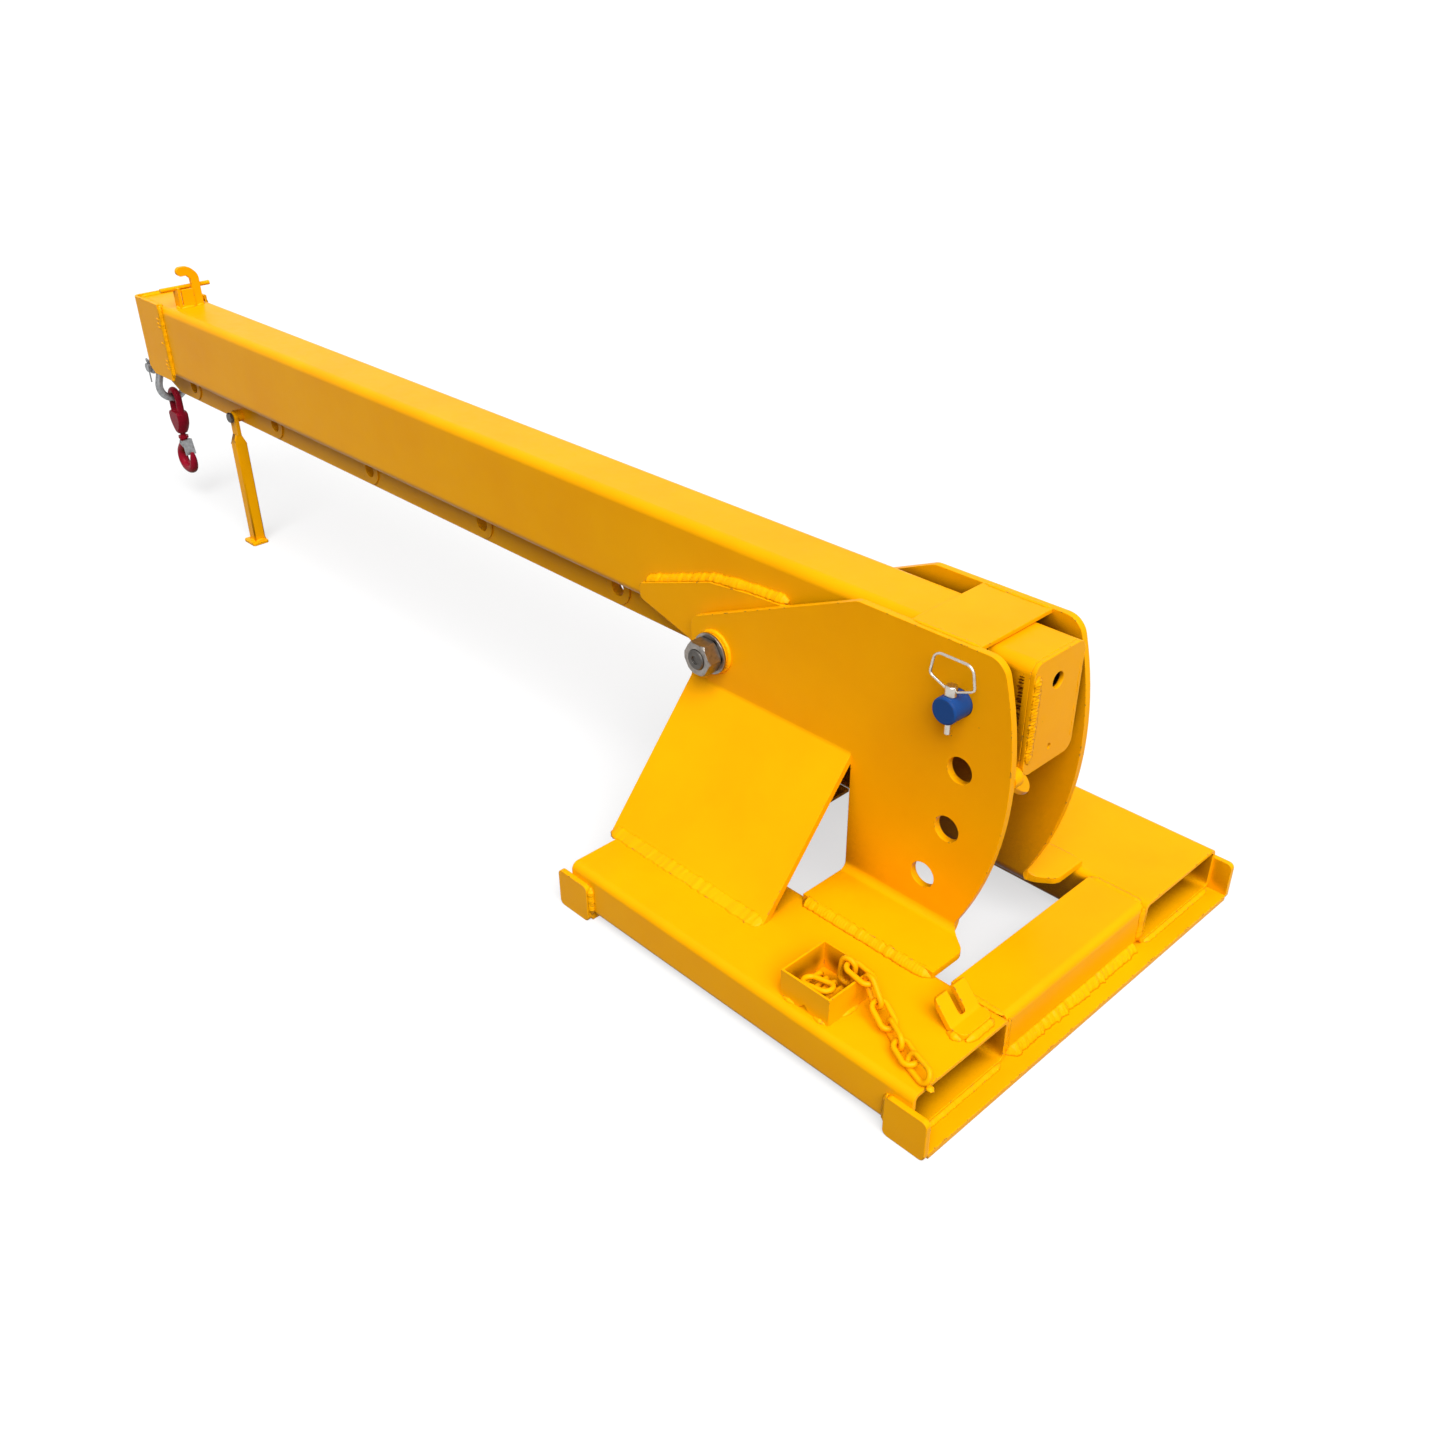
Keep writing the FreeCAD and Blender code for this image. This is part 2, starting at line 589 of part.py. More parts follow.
rail = rail.cut(rod("y", LUG_X, LUG_HEIGHT, SHACKLE_PIN_RADIUS + RUNNING_GAP, -BOOM_WIDTH, BOOM_WIDTH))
pads = []
for k in range(RAIL_EYES):
    eye_x = RAIL_FIRST_EYE + RAIL_EYE_STEP * k
    eye = rod("y", eye_x, EYE_HEIGHT, RAIL_EYE_RADIUS, -BOOM_WIDTH, BOOM_WIDTH)
    rail = rail.cut(eye)
    pad = rod("y", eye_x, EYE_HEIGHT, PAD_RADIUS, rail_half, rail_half + PAD_THICK).cut(eye)
    pads += [pad, mirrored(pad)]
keep("rail_eye_pads", *pads)

# Nose wrap: bent round the boom end, with a sloping closer under it that is slotted over the rail.
nose_half = BOOM_HALF + NOSE_PLATE
nose_rear = NOSE_FRONT - NOSE_LENGTH
nose_path = [(nose_rear, -nose_half), (NOSE_FRONT, -nose_half), (NOSE_FRONT, nose_half),
             (nose_rear, nose_half)]
nose = slab(folded(nose_path, NOSE_PLATE, NOSE_BEND), "z", NOSE_BOTTOM, NOSE_TOP)
corner = [(chamfer_x, NOSE_BOTTOM), (NOSE_FRONT, chamfer_z)]
below = slab(corner + [(NOSE_FRONT + OVERRUN, chamfer_z), (NOSE_FRONT + OVERRUN, NOSE_BOTTOM - OVERRUN),
                       (chamfer_x, NOSE_BOTTOM - OVERRUN)], "y", -BOOM_WIDTH, BOOM_WIDTH)
closer = slab(folded(corner, NOSE_PLATE, 0), "y", -BOOM_HALF, BOOM_HALF)
closer = closer.common(box(chamfer_x, NOSE_FRONT, -BOOM_HALF, BOOM_HALF, NOSE_BOTTOM, BOOM_TOP))
nose = joined(nose.cut(below), closer).cut(rail)
keep("nose_wrap", nose)
boom = boom.cut(below).cut(nose).cut(rail)
boom = max(boom.Solids, key=lambda s: s.Volume)
splice = -BOOM_TAIL + TAIL_LENGTH
last_length = box(-BOOM_TAIL, splice, -BOOM_WIDTH, BOOM_WIDTH, 0, BOOM_TOP + OVERRUN)
keep("boom_tube", boom.cut(last_length))
keep("boom_tail_tube", boom.common(last_length))

# Tail end plate, with its hanging hole and drain hole.
tail = slab(rectangle(-BOOM_HALF, BOOM_HALF, BOOM_BOTTOM, BOOM_TOP, BOOM_CORNER), "x", -BOOM_TAIL,
            -BOOM_TAIL + TAIL_PLATE)
tail = tail.cut(rod("x", 0, BOOM_BOTTOM + TAIL_HOLE_RISE, TAIL_HOLE_RADIUS, -BOOM_TAIL - OVERRUN, 0))
tail = tail.cut(rod("x", 0, BOOM_BOTTOM + TAIL_DRAIN_RISE, TAIL_DRAIN_RADIUS, -BOOM_TAIL - OVERRUN, 0))
keep("tail_end_plate", tail)

# Cheek plates carry the pivot bush on both sides of the boom.
bush = rod("y", 0, PIVOT_HEIGHT, BUSH_RADIUS, -SIDE_GAP_HALF + SIDE_GAP, SIDE_GAP_HALF - SIDE_GAP)
cheek_outline = [(x, PIVOT_HEIGHT + z, r) for x, z, r in CHEEK_OUTLINE]
cheek = slab(cheek_outline, "y", BOOM_HALF, BOOM_HALF + CHEEK_THICK)
cheek = joined(cheek, rod("y", 0, PIVOT_HEIGHT, CHEEK_LOBE, BOOM_HALF, BOOM_HALF + CHEEK_THICK)).cut(bush)
keep("near_cheek_plate", cheek)
keep("far_cheek_plate", mirrored(cheek))
keep("pivot_bush", bush.cut(rod("y", 0, PIVOT_HEIGHT, bore, -BOOM_WIDTH, BOOM_WIDTH)))

# Tip bracket: an angle with a narrow slot, a hooked bar beside it and a cross rod behind both.
panel_top = BOOM_TOP + PANEL_HEIGHT
panel = box(PANEL_REAR, PANEL_REAR + PANEL_THICK, PANEL_FAR_Y, PANEL_NEAR_Y, BOOM_TOP, panel_top)
slit_y = PANEL_NEAR_Y - FLANGE_THICK
flange = box(PANEL_REAR, FLANGE_FRONT, slit_y, PANEL_NEAR_Y, BOOM_TOP, panel_top + ROD_RADIUS)
slit = box(PANEL_REAR - OVERRUN, PANEL_REAR + PANEL_THICK, slit_y - PANEL_SLOT, slit_y,
           BOOM_TOP + PANEL_SLOT_SILL, panel_top + OVERRUN)
rod_x = HOOK_BAR_REAR + HOOK_BAR_THICK + ROD_RADIUS
cross_rod = rod("y", rod_x, BOOM_TOP + ROD_RISE, ROD_RADIUS, -ROD_HALF, ROD_HALF)
bracket = joined(panel.cut(slit), flange).cut(cross_rod)
keep("tip_cross_rod", cross_rod)
bar_top = BOOM_TOP + HOOK_BAR_HEIGHT
bar_path = [(HOOK_BAR_FAR_Y + HOOK_BAR_REACH, bar_top), (HOOK_BAR_FAR_Y + HOOK_BAR_SHOULDER, bar_top),
            (HOOK_BAR_FAR_Y, bar_top - HOOK_BAR_SHOULDER), (HOOK_BAR_FAR_Y, BOOM_TOP)]
bar_front = HOOK_BAR_REAR + HOOK_BAR_THICK
bar = slab(folded(bar_path, HOOK_BAR_WIDTH, HOOK_BAR_ROUND), "x", HOOK_BAR_REAR, bar_front)
bar = joined(bar, rod("x", HOOK_BAR_FAR_Y + HOOK_BAR_REACH, bar_top - HOOK_BAR_WIDTH / 2, HOOK_BAR_WIDTH / 2,
                      HOOK_BAR_REAR, bar_front))
keep("tip_hook_bar", bar.cut(cross_rod))
keep("tip_bracket", bracket.cut(bar))

# Support leg: square tube on a foot plate, its flat tongue bolted beside the rail so that the leg folds back.
leg_half = LEG_SIZE / 2
tongue_half = TONGUE_THICK / 2
leg_tube = tube("z", LEG_X - leg_half, LEG_X + leg_half, LEG_Y - leg_half, LEG_Y + leg_half, LEG_WALL,
                LEG_CORNER, LEG_FOOT_THICK, LEG_TOP)
cap = slab([
    (LEG_Y - leg_half, LEG_TOP), (LEG_Y + leg_half, LEG_TOP), (LEG_Y + tongue_half, LEG_TOP + LEG_BEVEL),
    (LEG_Y - tongue_half, LEG_TOP + LEG_BEVEL),
], "x", LEG_X - leg_half, LEG_X + leg_half)
keep("leg_tube", joined(leg_tube, cap))
tongue = slab(rectangle(LEG_X - leg_half, LEG_X + leg_half, LEG_TOP + LEG_BEVEL, LEG_HEIGHT, 0), "y",
              LEG_Y - tongue_half, LEG_Y + tongue_half)
tongue = joined(tongue, rod("y", LEG_X, LEG_HEIGHT, TONGUE_RADIUS, LEG_Y - tongue_half, LEG_Y + tongue_half))
keep("leg_tongue", tongue.cut(rod("y", LEG_X, LEG_HEIGHT, LEG_BOLT_RADIUS + RUNNING_GAP, 0, BOOM_WIDTH)))
foot_y = LEG_FOOT_Y - LEG_FOOT_WIDTH / 2
foot = rectangle(LEG_X - LEG_FOOT_LENGTH / 2, LEG_X + LEG_FOOT_LENGTH / 2, foot_y, foot_y + LEG_FOOT_WIDTH,
                 LEG_FOOT_ROUND)
keep("leg_foot_plate", slab(foot, "z", 0, LEG_FOOT_THICK))
spacer_end = LEG_Y - tongue_half - SIDE_GAP
spacer = rod("y", LEG_X, LEG_HEIGHT, SPACER_RADIUS, rail_half, spacer_end)
keep("leg_spacer", spacer.cut(rod("y", LEG_X, LEG_HEIGHT, LEG_BOLT_RADIUS, 0, BOOM_WIDTH)))
head_start = LEG_Y + tongue_half + SIDE_GAP
nut_far = -rail_half - LEG_NUT_HEIGHT
leg_bolt = joined(rod("y", LEG_X, LEG_HEIGHT, LEG_BOLT_RADIUS, nut_far - LEG_BOLT_END, head_start),
                  hexagon("y", LEG_X, LEG_HEIGHT, LEG_BOLT_HEX, head_start, head_start + LEG_BOLT_HEAD))
keep("leg_bolt", leg_bolt)
leg_nut = hexagon("y", LEG_X, LEG_HEIGHT, LEG_BOLT_HEX, nut_far, -rail_half)
keep("leg_nut", leg_nut.cut(rod("y", LEG_X, LEG_HEIGHT, LEG_BOLT_RADIUS, nut_far - OVERRUN, 0)))
keep("hook_rail", rail.cut(rod("y", LEG_X, LEG_HEIGHT, LEG_BOLT_RADIUS, -BOOM_WIDTH, BOOM_WIDTH)))

# Lock pin, with a linch pin through its near end and a wire ring in the linch pin's head.
lock = rod("y", seat_x, seat_z, LOCK_RADIUS, LOCK_FAR_END, LOCK_NEAR_END)
lock = lock.makeChamfer(LOCK_CHAMFER, [e for e in lock.Edges if len(e.Vertexes) == 1])
keep("lock_pin", lock.cut(rod("z", seat_x, LINCH_Y, LINCH_RADIUS + RUNNING_GAP, 0, SIDE_TOP)))
head_bottom = seat_z + LOCK_RADIUS + RUNNING_GAP
tip_z = seat_z - LINCH_TIP_DROP
linch = rod("z", seat_x, LINCH_Y, LINCH_RADIUS, tip_z, head_bottom)
tip_rim = [e for e in linch.Edges if abs(e.CenterOfMass.z - tip_z) < EDGE_REACH]
linch = linch.makeChamfer(LINCH_TIP_CHAMFER, tip_rim)
head_top = head_bottom + LINCH_HEAD_HEIGHT
linch_head = rod("z", seat_x, LINCH_Y, LINCH_HEAD_RADIUS, head_bottom, head_top)
linch_head = rounded(linch_head, LINCH_HEAD_ROUND, lambda c: c.z > head_top - EDGE_REACH)
ring_z = head_bottom + LINCH_HEAD_HEIGHT / 2
linch_bore = rod("x", LINCH_Y, ring_z, RING_WIRE + RUNNING_GAP, seat_x - RING_REACH, seat_x + RING_REACH)
keep("linch_pin", joined(linch, linch_head).cut(linch_bore))


def swept(path_edges, radius):
    """Round wire along a path."""
    path = Part.Wire(path_edges)
    start = path.Edges[0].valueAt(path.Edges[0].FirstParameter)
    tangent = path.Edges[0].tangentAt(path.Edges[0].FirstParameter)
    section = Part.Wire([Part.Circle(start, tangent, radius).toShape()])
    return path.makePipeShell([section], True, True)


side = LINCH_HEAD_RADIUS / 2
ring_half = [(side, 0), (side + RING_FOOT, 0, RING_FOOT / 2), (RING_REACH, RING_SHOULDER, RING_ROUND / 2),
             (RING_REACH - RING_SHOULDER / 2, RING_HEIGHT, RING_ROUND)]
ring_points = [(seat_x - x, ring_z + z, *r) for x, z, *r in ring_half]
ring_points += [(seat_x + x, ring_z + z, *r) for x, z, *r in ring_half[::-1]]
loop = wire(ring_points, "y", LINCH_Y)
open_loop = []
for edge in loop.Edges:
    centre = edge.CenterOfMass
    if abs(centre.x - seat_x) > side / 2 or centre.z > ring_z + EDGE_REACH:
        open_loop.append(edge)
keep("linch_ring", swept(Part.sortEdges(open_loop)[0], RING_WIRE))

# Chain box: four thin walls on the pocket, with a drain notch.
box_front = BOX_REAR + BOX_SIZE
box_outer = BOX_INNER_Y + BOX_SIZE
box_top = POCKET_TOP + BOX_HEIGHT
chain_box = tube("z", BOX_REAR, box_front, BOX_INNER_Y, box_outer, BOX_WALL, 0, POCKET_TOP, box_top)
notch_x = (BOX_REAR + box_front) / 2
notch = slab([(notch_x - NOTCH_WIDTH / 2, POCKET_TOP), (notch_x + NOTCH_WIDTH / 2, POCKET_TOP),
              (notch_x, POCKET_TOP + NOTCH_HEIGHT)], "y", box_outer - BOX_WALL - OVERRUN, box_outer + OVERRUN)
keep("chain_box", chain_box.cut(notch))

link_bend = LINK_WIDTH / 2 - LINK_WIRE
link_straight = LINK_PITCH / 2 + LINK_WIRE - link_bend


def link(start, end, roll):
    """A welded link between the points where its neighbours pull, turned by roll about its length."""
    pieces = []
    for sign in (1, -1):
        half = Part.makeTorus(link_bend, LINK_WIRE, V(0, 0, 0), V(0, 0, 1), -HALF_TURN, HALF_TURN, HALF_TURN)
        half.rotate(V(0, 0, 0), V(0, 0, 1), -QUARTER_TURN * sign)
        half.translate(V(link_straight * sign, 0, 0))
        pieces.append(half)
        pieces.append(rod("x", link_bend * sign, 0, LINK_WIRE, -link_straight, link_straight))
    solid = joined(*pieces)
    along = end - start
    along.normalize()
    across = V(0, 0, 1).cross(along)
    across.normalize()
    up = along.cross(across)
    middle = (start + end) / 2
    matrix = FreeCAD.Matrix(along.x, across.x, up.x, middle.x, along.y, across.y, up.y, middle.y,
                            along.z, across.z, up.z, middle.z, 0, 0, 0, 1)
    solid.rotate(V(0, 0, 0), V(1, 0, 0), roll)
    solid.Placement = FreeCAD.Placement(matrix).multiply(solid.Placement)
    return solid


# The safety chain runs from its anchor link over the box's rear wall; the rest of it is heaped in the box.
box_corner = V(BOX_REAR, BOX_INNER_Y, POCKET_TOP)
chain = []
for start, end, roll in zip(CHAIN_STARTS, CHAIN_ENDS, CHAIN_ROLL_ANGLES):
    chain.append(link(box_corner + V(*start), box_corner + V(*end), roll))
keep("chain_run", *chain[:-1])
keep("chain_anchor", chain[-1])
heap = []
for place, (heading, dip, roll) in zip(HEAP_PLACES, HEAP_ANGLES):
    centre = box_corner + V(*place)
    heading, dip = math.radians(heading), math.radians(dip)
    level = math.cos(dip)
    reach = V(math.cos(heading) * level, math.sin(heading) * level, -math.sin(dip)) * LINK_WIDTH
    heap.append(link(centre - reach, centre + reach, roll))
keep("chain_pile", *heap)

# Chain grab: a bent tab with an open slot that holds a link of the safety chain.
grab_path = [(GRAB_REAR, POCKET_TOP), (GRAB_BEND, POCKET_TOP), (GRAB_TIP, GRAB_TIP_HEIGHT)]
grab_outer = GRAB_INNER_Y + GRAB_WIDTH
grab = slab(folded(grab_path, GRAB_THICK, GRAB_BEND_ROUND), "y", GRAB_INNER_Y, grab_outer)
grab_plan = rectangle(GRAB_REAR, GRAB_TIP, GRAB_INNER_Y, grab_outer, GRAB_CORNER)
grab = grab.common(slab(grab_plan, "z", POCKET_TOP, BOOM_BOTTOM))
grab_cut = rectangle(GRAB_BEND, GRAB_TIP + GRAB_SLOT, GRAB_SLOT_Y, GRAB_SLOT_Y + GRAB_SLOT,
                     GRAB_SLOT_ROUND)
keep("chain_grab", grab.cut(slab(grab_cut, "z", POCKET_TOP - OVERRUN, BOOM_BOTTOM)))

# Bow shackle through the lug: forged bow, pin with a round head, nut and split pin.
eye_outer = SHACKLE_JAW_HALF + SHACKLE_WIRE * 2
bow_y = SHACKLE_BOW_HALF + SHACKLE_WIRE
leg_y = SHACKLE_JAW_HALF + SHACKLE_WIRE
bow_bottom = LUG_HEIGHT - SHACKLE_PIN_RADIUS - SHACKLE_INSIDE - SHACKLE_WIRE
bow_centre = bow_bottom + bow_y
bow_path = []
for sign in (-1, 1):
    half = [(leg_y * sign, LUG_HEIGHT), (leg_y * sign, LUG_HEIGHT - SHACKLE_NECK, SHACKLE_EASE),
            (bow_y * sign, bow_centre + SHACKLE_SHOULDER, SHACKLE_EASE), (bow_y * sign, bow_bottom, bow_y)]
    bow_path += half if sign < 0 else half[::-1]
bow_loop = wire(bow_path, "x", LUG_X)
bow_edges = [e for e in bow_loop.Edges if e.CenterOfMass.z < LUG_HEIGHT - SAME_POINT]
bow = swept(Part.sortEdges(bow_edges)[0], SHACKLE_WIRE)
pieces = [bow]
for sign in (-1, 1):
    low, high = sorted((SHACKLE_JAW_HALF * sign, eye_outer * sign))
    pieces.append(rod("y", LUG_X, LUG_HEIGHT, SHACKLE_EYE_RADIUS, low, high))
bow = joined(*pieces).cut(rod("y", LUG_X, LUG_HEIGHT, SHACKLE_PIN_RADIUS, -BOOM_WIDTH, BOOM_WIDTH))
keep("shackle_bow", bow)
nut_end = eye_outer + SHACKLE_NUT_HEIGHT
pin_end = nut_end + SHACKLE_PIN_END
cotter_y = pin_end - COTTER_INSET
cotter_hole = rod("z", LUG_X, cotter_y, COTTER_WIRE, 0, BOOM_TOP)
pin = rod("y", LUG_X, LUG_HEIGHT, SHACKLE_PIN_RADIUS, -eye_outer, pin_end)
pin_head = rod("y", LUG_X, LUG_HEIGHT, SHACKLE_HEAD_RADIUS, -eye_outer - SHACKLE_HEAD_HEIGHT, -eye_outer)
keep("shackle_pin", joined(pin, pin_head).cut(cotter_hole))
nut = hexagon("y", LUG_X, LUG_HEIGHT, SHACKLE_NUT_HEX, eye_outer, nut_end)
keep("shackle_nut", nut.cut(rod("y", LUG_X, LUG_HEIGHT, SHACKLE_PIN_RADIUS, 0, BOOM_WIDTH)))
cotter_top = LUG_HEIGHT + COTTER_RISE
cotter = rod("z", LUG_X, cotter_y, COTTER_WIRE, LUG_HEIGHT - COTTER_DROP, cotter_top)
cotter_eye = Part.makeTorus(COTTER_EYE, COTTER_WIRE, V(LUG_X, cotter_y, cotter_top + COTTER_EYE), V(0, 1, 0))
keep("shackle_cotter", joined(cotter, cotter_eye))

# Swivel hook. A bail hangs in the bow; the hook's shank turns in the swivel block under it.
bail_z = HOOK_HANG + SHACKLE_WIRE + BAIL_REST_GAP - (BAIL_HALF - BAIL_WIRE)
bail_foot = SWIVEL_TOP - BAIL_SINK
bail_rear = V(LUG_X - BAIL_HALF, 0, bail_z)
bail_front = V(LUG_X + BAIL_HALF, 0, bail_z)
bail = swept([
    Part.makeLine(V(bail_rear.x, 0, bail_foot), bail_rear),
    Part.Arc(bail_rear, V(LUG_X, 0, bail_z + BAIL_HALF), bail_front).toShape(),
    Part.makeLine(bail_front, V(bail_front.x, 0, bail_foot)),
], BAIL_WIRE)
profile = [V(LUG_X + r, 0, z) for r, z in SWIVEL_PROFILE]
block = Part.Face(Part.makePolygon(profile + [profile[0]])).revolve(V(LUG_X, 0, 0), V(0, 0, 1), 2 * HALF_TURN)
flats = box(LUG_X - BOOM_WIDTH, LUG_X + BOOM_WIDTH, -SWIVEL_HALF_THICK, SWIVEL_HALF_THICK, 0, BOOM_TOP)
block = block.common(flats)
block = block.cut(rod("z", LUG_X, 0, SHANK_RADIUS + RUNNING_GAP, 0, SWIVEL_TOP + OVERRUN))
hang = V(0, 0, bow_bottom - HOOK_HANG)
keep("hook_eye", joined(bail, block).translated(hang))

sections = []
for x, z, heading, radius in HOOK_SECTIONS:
    direction = V(math.cos(math.radians(heading)), 0, math.sin(math.radians(heading)))
    circle = Part.Circle(V(LUG_X + x, 0, z), direction, radius)
    circle.XAxis = V(0, 1, 0)
    sections.append(Part.Wire([circle.toShape()]))
curved = Part.makeLoft(sections, True, False)
shank_top = SWIVEL_TOP + SIDE_GAP
shank = rod("z", LUG_X, 0, SHANK_RADIUS, COLLAR_TOP - COLLAR_HEIGHT, shank_top)
shank_head = rod("z", LUG_X, 0, SHANK_HEAD_RADIUS, shank_top, shank_top + SHANK_HEAD_HEIGHT)
collar = rod("z", LUG_X, 0, COLLAR_RADIUS, COLLAR_TOP - COLLAR_HEIGHT, COLLAR_TOP)
hook = joined(curved, collar, shank, shank_head)
latch_x = LUG_X + LATCH_X
latch_pin = rod("y", latch_x, LATCH_HEIGHT, LATCH_PIN_RADIUS, -LATCH_PIN_HALF, LATCH_PIN_HALF)
keep("hook_body", hook.cut(latch_pin).translated(hang))
keep("latch_pin", latch_pin.translated(hang))

latch_outer = LATCH_INNER_HALF + LATCH_PLATE
web = slab([(LUG_X + x, z) for x, z in LATCH_OUTLINE], "y", -latch_outer, latch_outer)
ear = slab([(LUG_X + x, z, r) for x, z, r in LATCH_EAR], "y", LATCH_INNER_HALF, latch_outer)
latch = joined(web, ear, mirrored(ear))
latch = latch.cut(rod("y", latch_x, LATCH_HEIGHT, LATCH_PIN_RADIUS + RUNNING_GAP, -BOOM_WIDTH, BOOM_WIDTH))
keep("hook_latch", latch.translated(hang))

# The whole object is centred on the middle of its length.
everything = Part.makeCompound(list(kept.values()))
bounds = everything.optimalBoundingBox(True, False)
middle = (bounds.XMin + bounds.XMax) / 2
os.makedirs("parts", exist_ok=True)
for name, shape in kept.items():
    moved = shape.copy()
    moved.translate(V(-middle, 0, 0))
    moved.exportStep(f"parts/{name}.step")
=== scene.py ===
import math

import bmesh
import bpy
from mathutils import Matrix, Vector, noise


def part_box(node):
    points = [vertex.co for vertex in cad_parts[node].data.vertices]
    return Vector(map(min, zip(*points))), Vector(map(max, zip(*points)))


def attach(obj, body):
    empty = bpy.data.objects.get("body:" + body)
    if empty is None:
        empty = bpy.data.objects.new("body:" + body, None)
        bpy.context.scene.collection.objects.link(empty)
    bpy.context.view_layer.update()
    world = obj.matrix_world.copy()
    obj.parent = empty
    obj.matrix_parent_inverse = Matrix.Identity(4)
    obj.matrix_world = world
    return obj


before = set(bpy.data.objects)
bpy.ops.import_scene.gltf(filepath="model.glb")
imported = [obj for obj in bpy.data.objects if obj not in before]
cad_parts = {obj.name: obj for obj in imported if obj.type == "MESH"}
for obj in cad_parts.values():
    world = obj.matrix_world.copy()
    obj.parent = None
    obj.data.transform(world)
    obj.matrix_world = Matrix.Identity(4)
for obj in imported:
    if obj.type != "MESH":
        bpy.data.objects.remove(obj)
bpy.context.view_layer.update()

# The studio: plain white ground and sky, as bright as outdoors. The camera looks down on the tail and near side
# from where the object's long edges and corners put it.
LENS = 34.10
FRAME_SHIFT = (0.01039, 0.01608)
CAMERA_PLACE = Vector((-1.84111, 1.22608, 1.21311))
CAMERA_HEADING = math.radians(-43.34)
CAMERA_DIP = math.radians(32.21)
CAMERA_ROLL = math.radians(0.69)
FLOOR_HALF = 30
FLOOR_WHITE = (0.86, 0.86, 0.86, 1)
FLOOR_BOUNCE = (0.10, 0.095, 0.08, 1)
FLOOR_GLOW_SHARE = 0.62
WHITE = (1, 1, 1, 1)
SKY_ZENITH = (0.58, 0.58, 0.58, 1)
SKY_HORIZON = (0.14, 0.14, 0.14, 1)
OVERHEAD_LIGHT = 3.9
OVERHEAD_FROM = Vector((-0.70, 0.46, 1))
OVERHEAD_SPREAD = math.radians(50)

ahead = Vector((math.cos(CAMERA_HEADING) * math.cos(CAMERA_DIP),
                math.sin(CAMERA_HEADING) * math.cos(CAMERA_DIP), -math.sin(CAMERA_DIP)))
level = Vector((math.sin(CAMERA_HEADING), -math.cos(CAMERA_HEADING), 0))
below = ahead.cross(level)
right = math.cos(CAMERA_ROLL) * level + math.sin(CAMERA_ROLL) * below
down = math.cos(CAMERA_ROLL) * below - math.sin(CAMERA_ROLL) * level
camera = bpy.data.objects.new("camera", bpy.data.cameras.new("camera"))
camera.matrix_world = Matrix.Translation(CAMERA_PLACE) @ Matrix((right, -down, -ahead)).transposed().to_4x4()
camera.data.lens = LENS
camera.data.shift_x, camera.data.shift_y = FRAME_SHIFT
bpy.context.scene.collection.objects.link(camera)
bpy.context.scene.camera = camera
bpy.context.scene.view_settings.view_transform = "Standard"


def add_node(tree, kind, inputs=None, **settings):
    """A shader node with its settings; inputs are values, or outputs of other nodes to link."""
    made = tree.nodes.new(kind)
    for name, value in settings.items():
        setattr(made, name, value)
    for name, value in (inputs or {}).items():
        if isinstance(value, bpy.types.NodeSocket):
            tree.links.new(value, made.inputs[name])
        else:
            made.inputs[name].default_value = value
    return made


def seen_directly(tree):
    """1 for rays that carry the background to the eye, also by way of bright metal."""
    path = add_node(tree, "ShaderNodeLightPath")
    seen = add_node(tree, "ShaderNodeMath", {0: path.outputs["Is Camera Ray"],
                                             1: path.outputs["Is Glossy Ray"]}, operation="MAXIMUM")
    return add_node(tree, "ShaderNodeMath", {0: seen.outputs[0], 1: path.outputs["Is Transmission Ray"]},
                    operation="MAXIMUM").outputs[0]


world = bpy.data.worlds.new("studio")
bpy.context.scene.world = world
world.use_nodes = True
tree = world.node_tree
tree.nodes.clear()
place = add_node(tree, "ShaderNodeTexCoord")
height = add_node(tree, "ShaderNodeSeparateXYZ", {0: place.outputs["Generated"]})
sky = add_node(tree, "ShaderNodeMix", {"Factor": height.outputs["Z"], "A": SKY_HORIZON, "B": SKY_ZENITH},
               data_type="RGBA")
soft = add_node(tree, "ShaderNodeBackground", {"Color": sky.outputs["Result"], "Strength": 1})
white = add_node(tree, "ShaderNodeBackground", {"Color": WHITE, "Strength": 1})
both = add_node(tree, "ShaderNodeMixShader", {0: seen_directly(tree), 1: soft.outputs[0], 2: white.outputs[0]})
add_node(tree, "ShaderNodeOutputWorld", {"Surface": both.outputs[0]})

lamp = bpy.data.objects.new("overhead_light", bpy.data.lights.new("overhead_light", "SUN"))
lamp.data.energy = OVERHEAD_LIGHT
lamp.data.angle = OVERHEAD_SPREAD
lamp.matrix_world = OVERHEAD_FROM.to_track_quat("Z", "Y").to_matrix().to_4x4()
bpy.context.scene.collection.objects.link(lamp)

floor_mesh = bpy.data.meshes.new("floor")
floor_corners = ((-1, -1), (1, -1), (1, 1), (-1, 1))
floor_mesh.from_pydata([(x * FLOOR_HALF, y * FLOOR_HALF, 0) for x, y in floor_corners], [], [(0, 1, 2, 3)])
floor = bpy.data.objects.new("floor", floor_mesh)
bpy.context.scene.collection.objects.link(floor)
paper = bpy.data.materials.new("white_floor")
paper.use_nodes = True
tree = paper.node_tree
tree.nodes.clear()
lit = add_node(tree, "ShaderNodeBsdfDiffuse", {"Color": FLOOR_WHITE})
glow = add_node(tree, "ShaderNodeEmission", {"Color": WHITE, "Strength": 1})
pale = add_node(tree, "ShaderNodeMixShader", {0: FLOOR_GLOW_SHARE, 1: lit.outputs[0], 2: glow.outputs[0]})
dull = add_node(tree, "ShaderNodeBsdfDiffuse", {"Color": FLOOR_BOUNCE})
both = add_node(tree, "ShaderNodeMixShader", {0: seen_directly(tree), 1: dull.outputs[0], 2: pale.outputs[0]})
add_node(tree, "ShaderNodeOutputMaterial", {"Surface": both.outputs[0]})
floor_mesh.materials.append(paper)

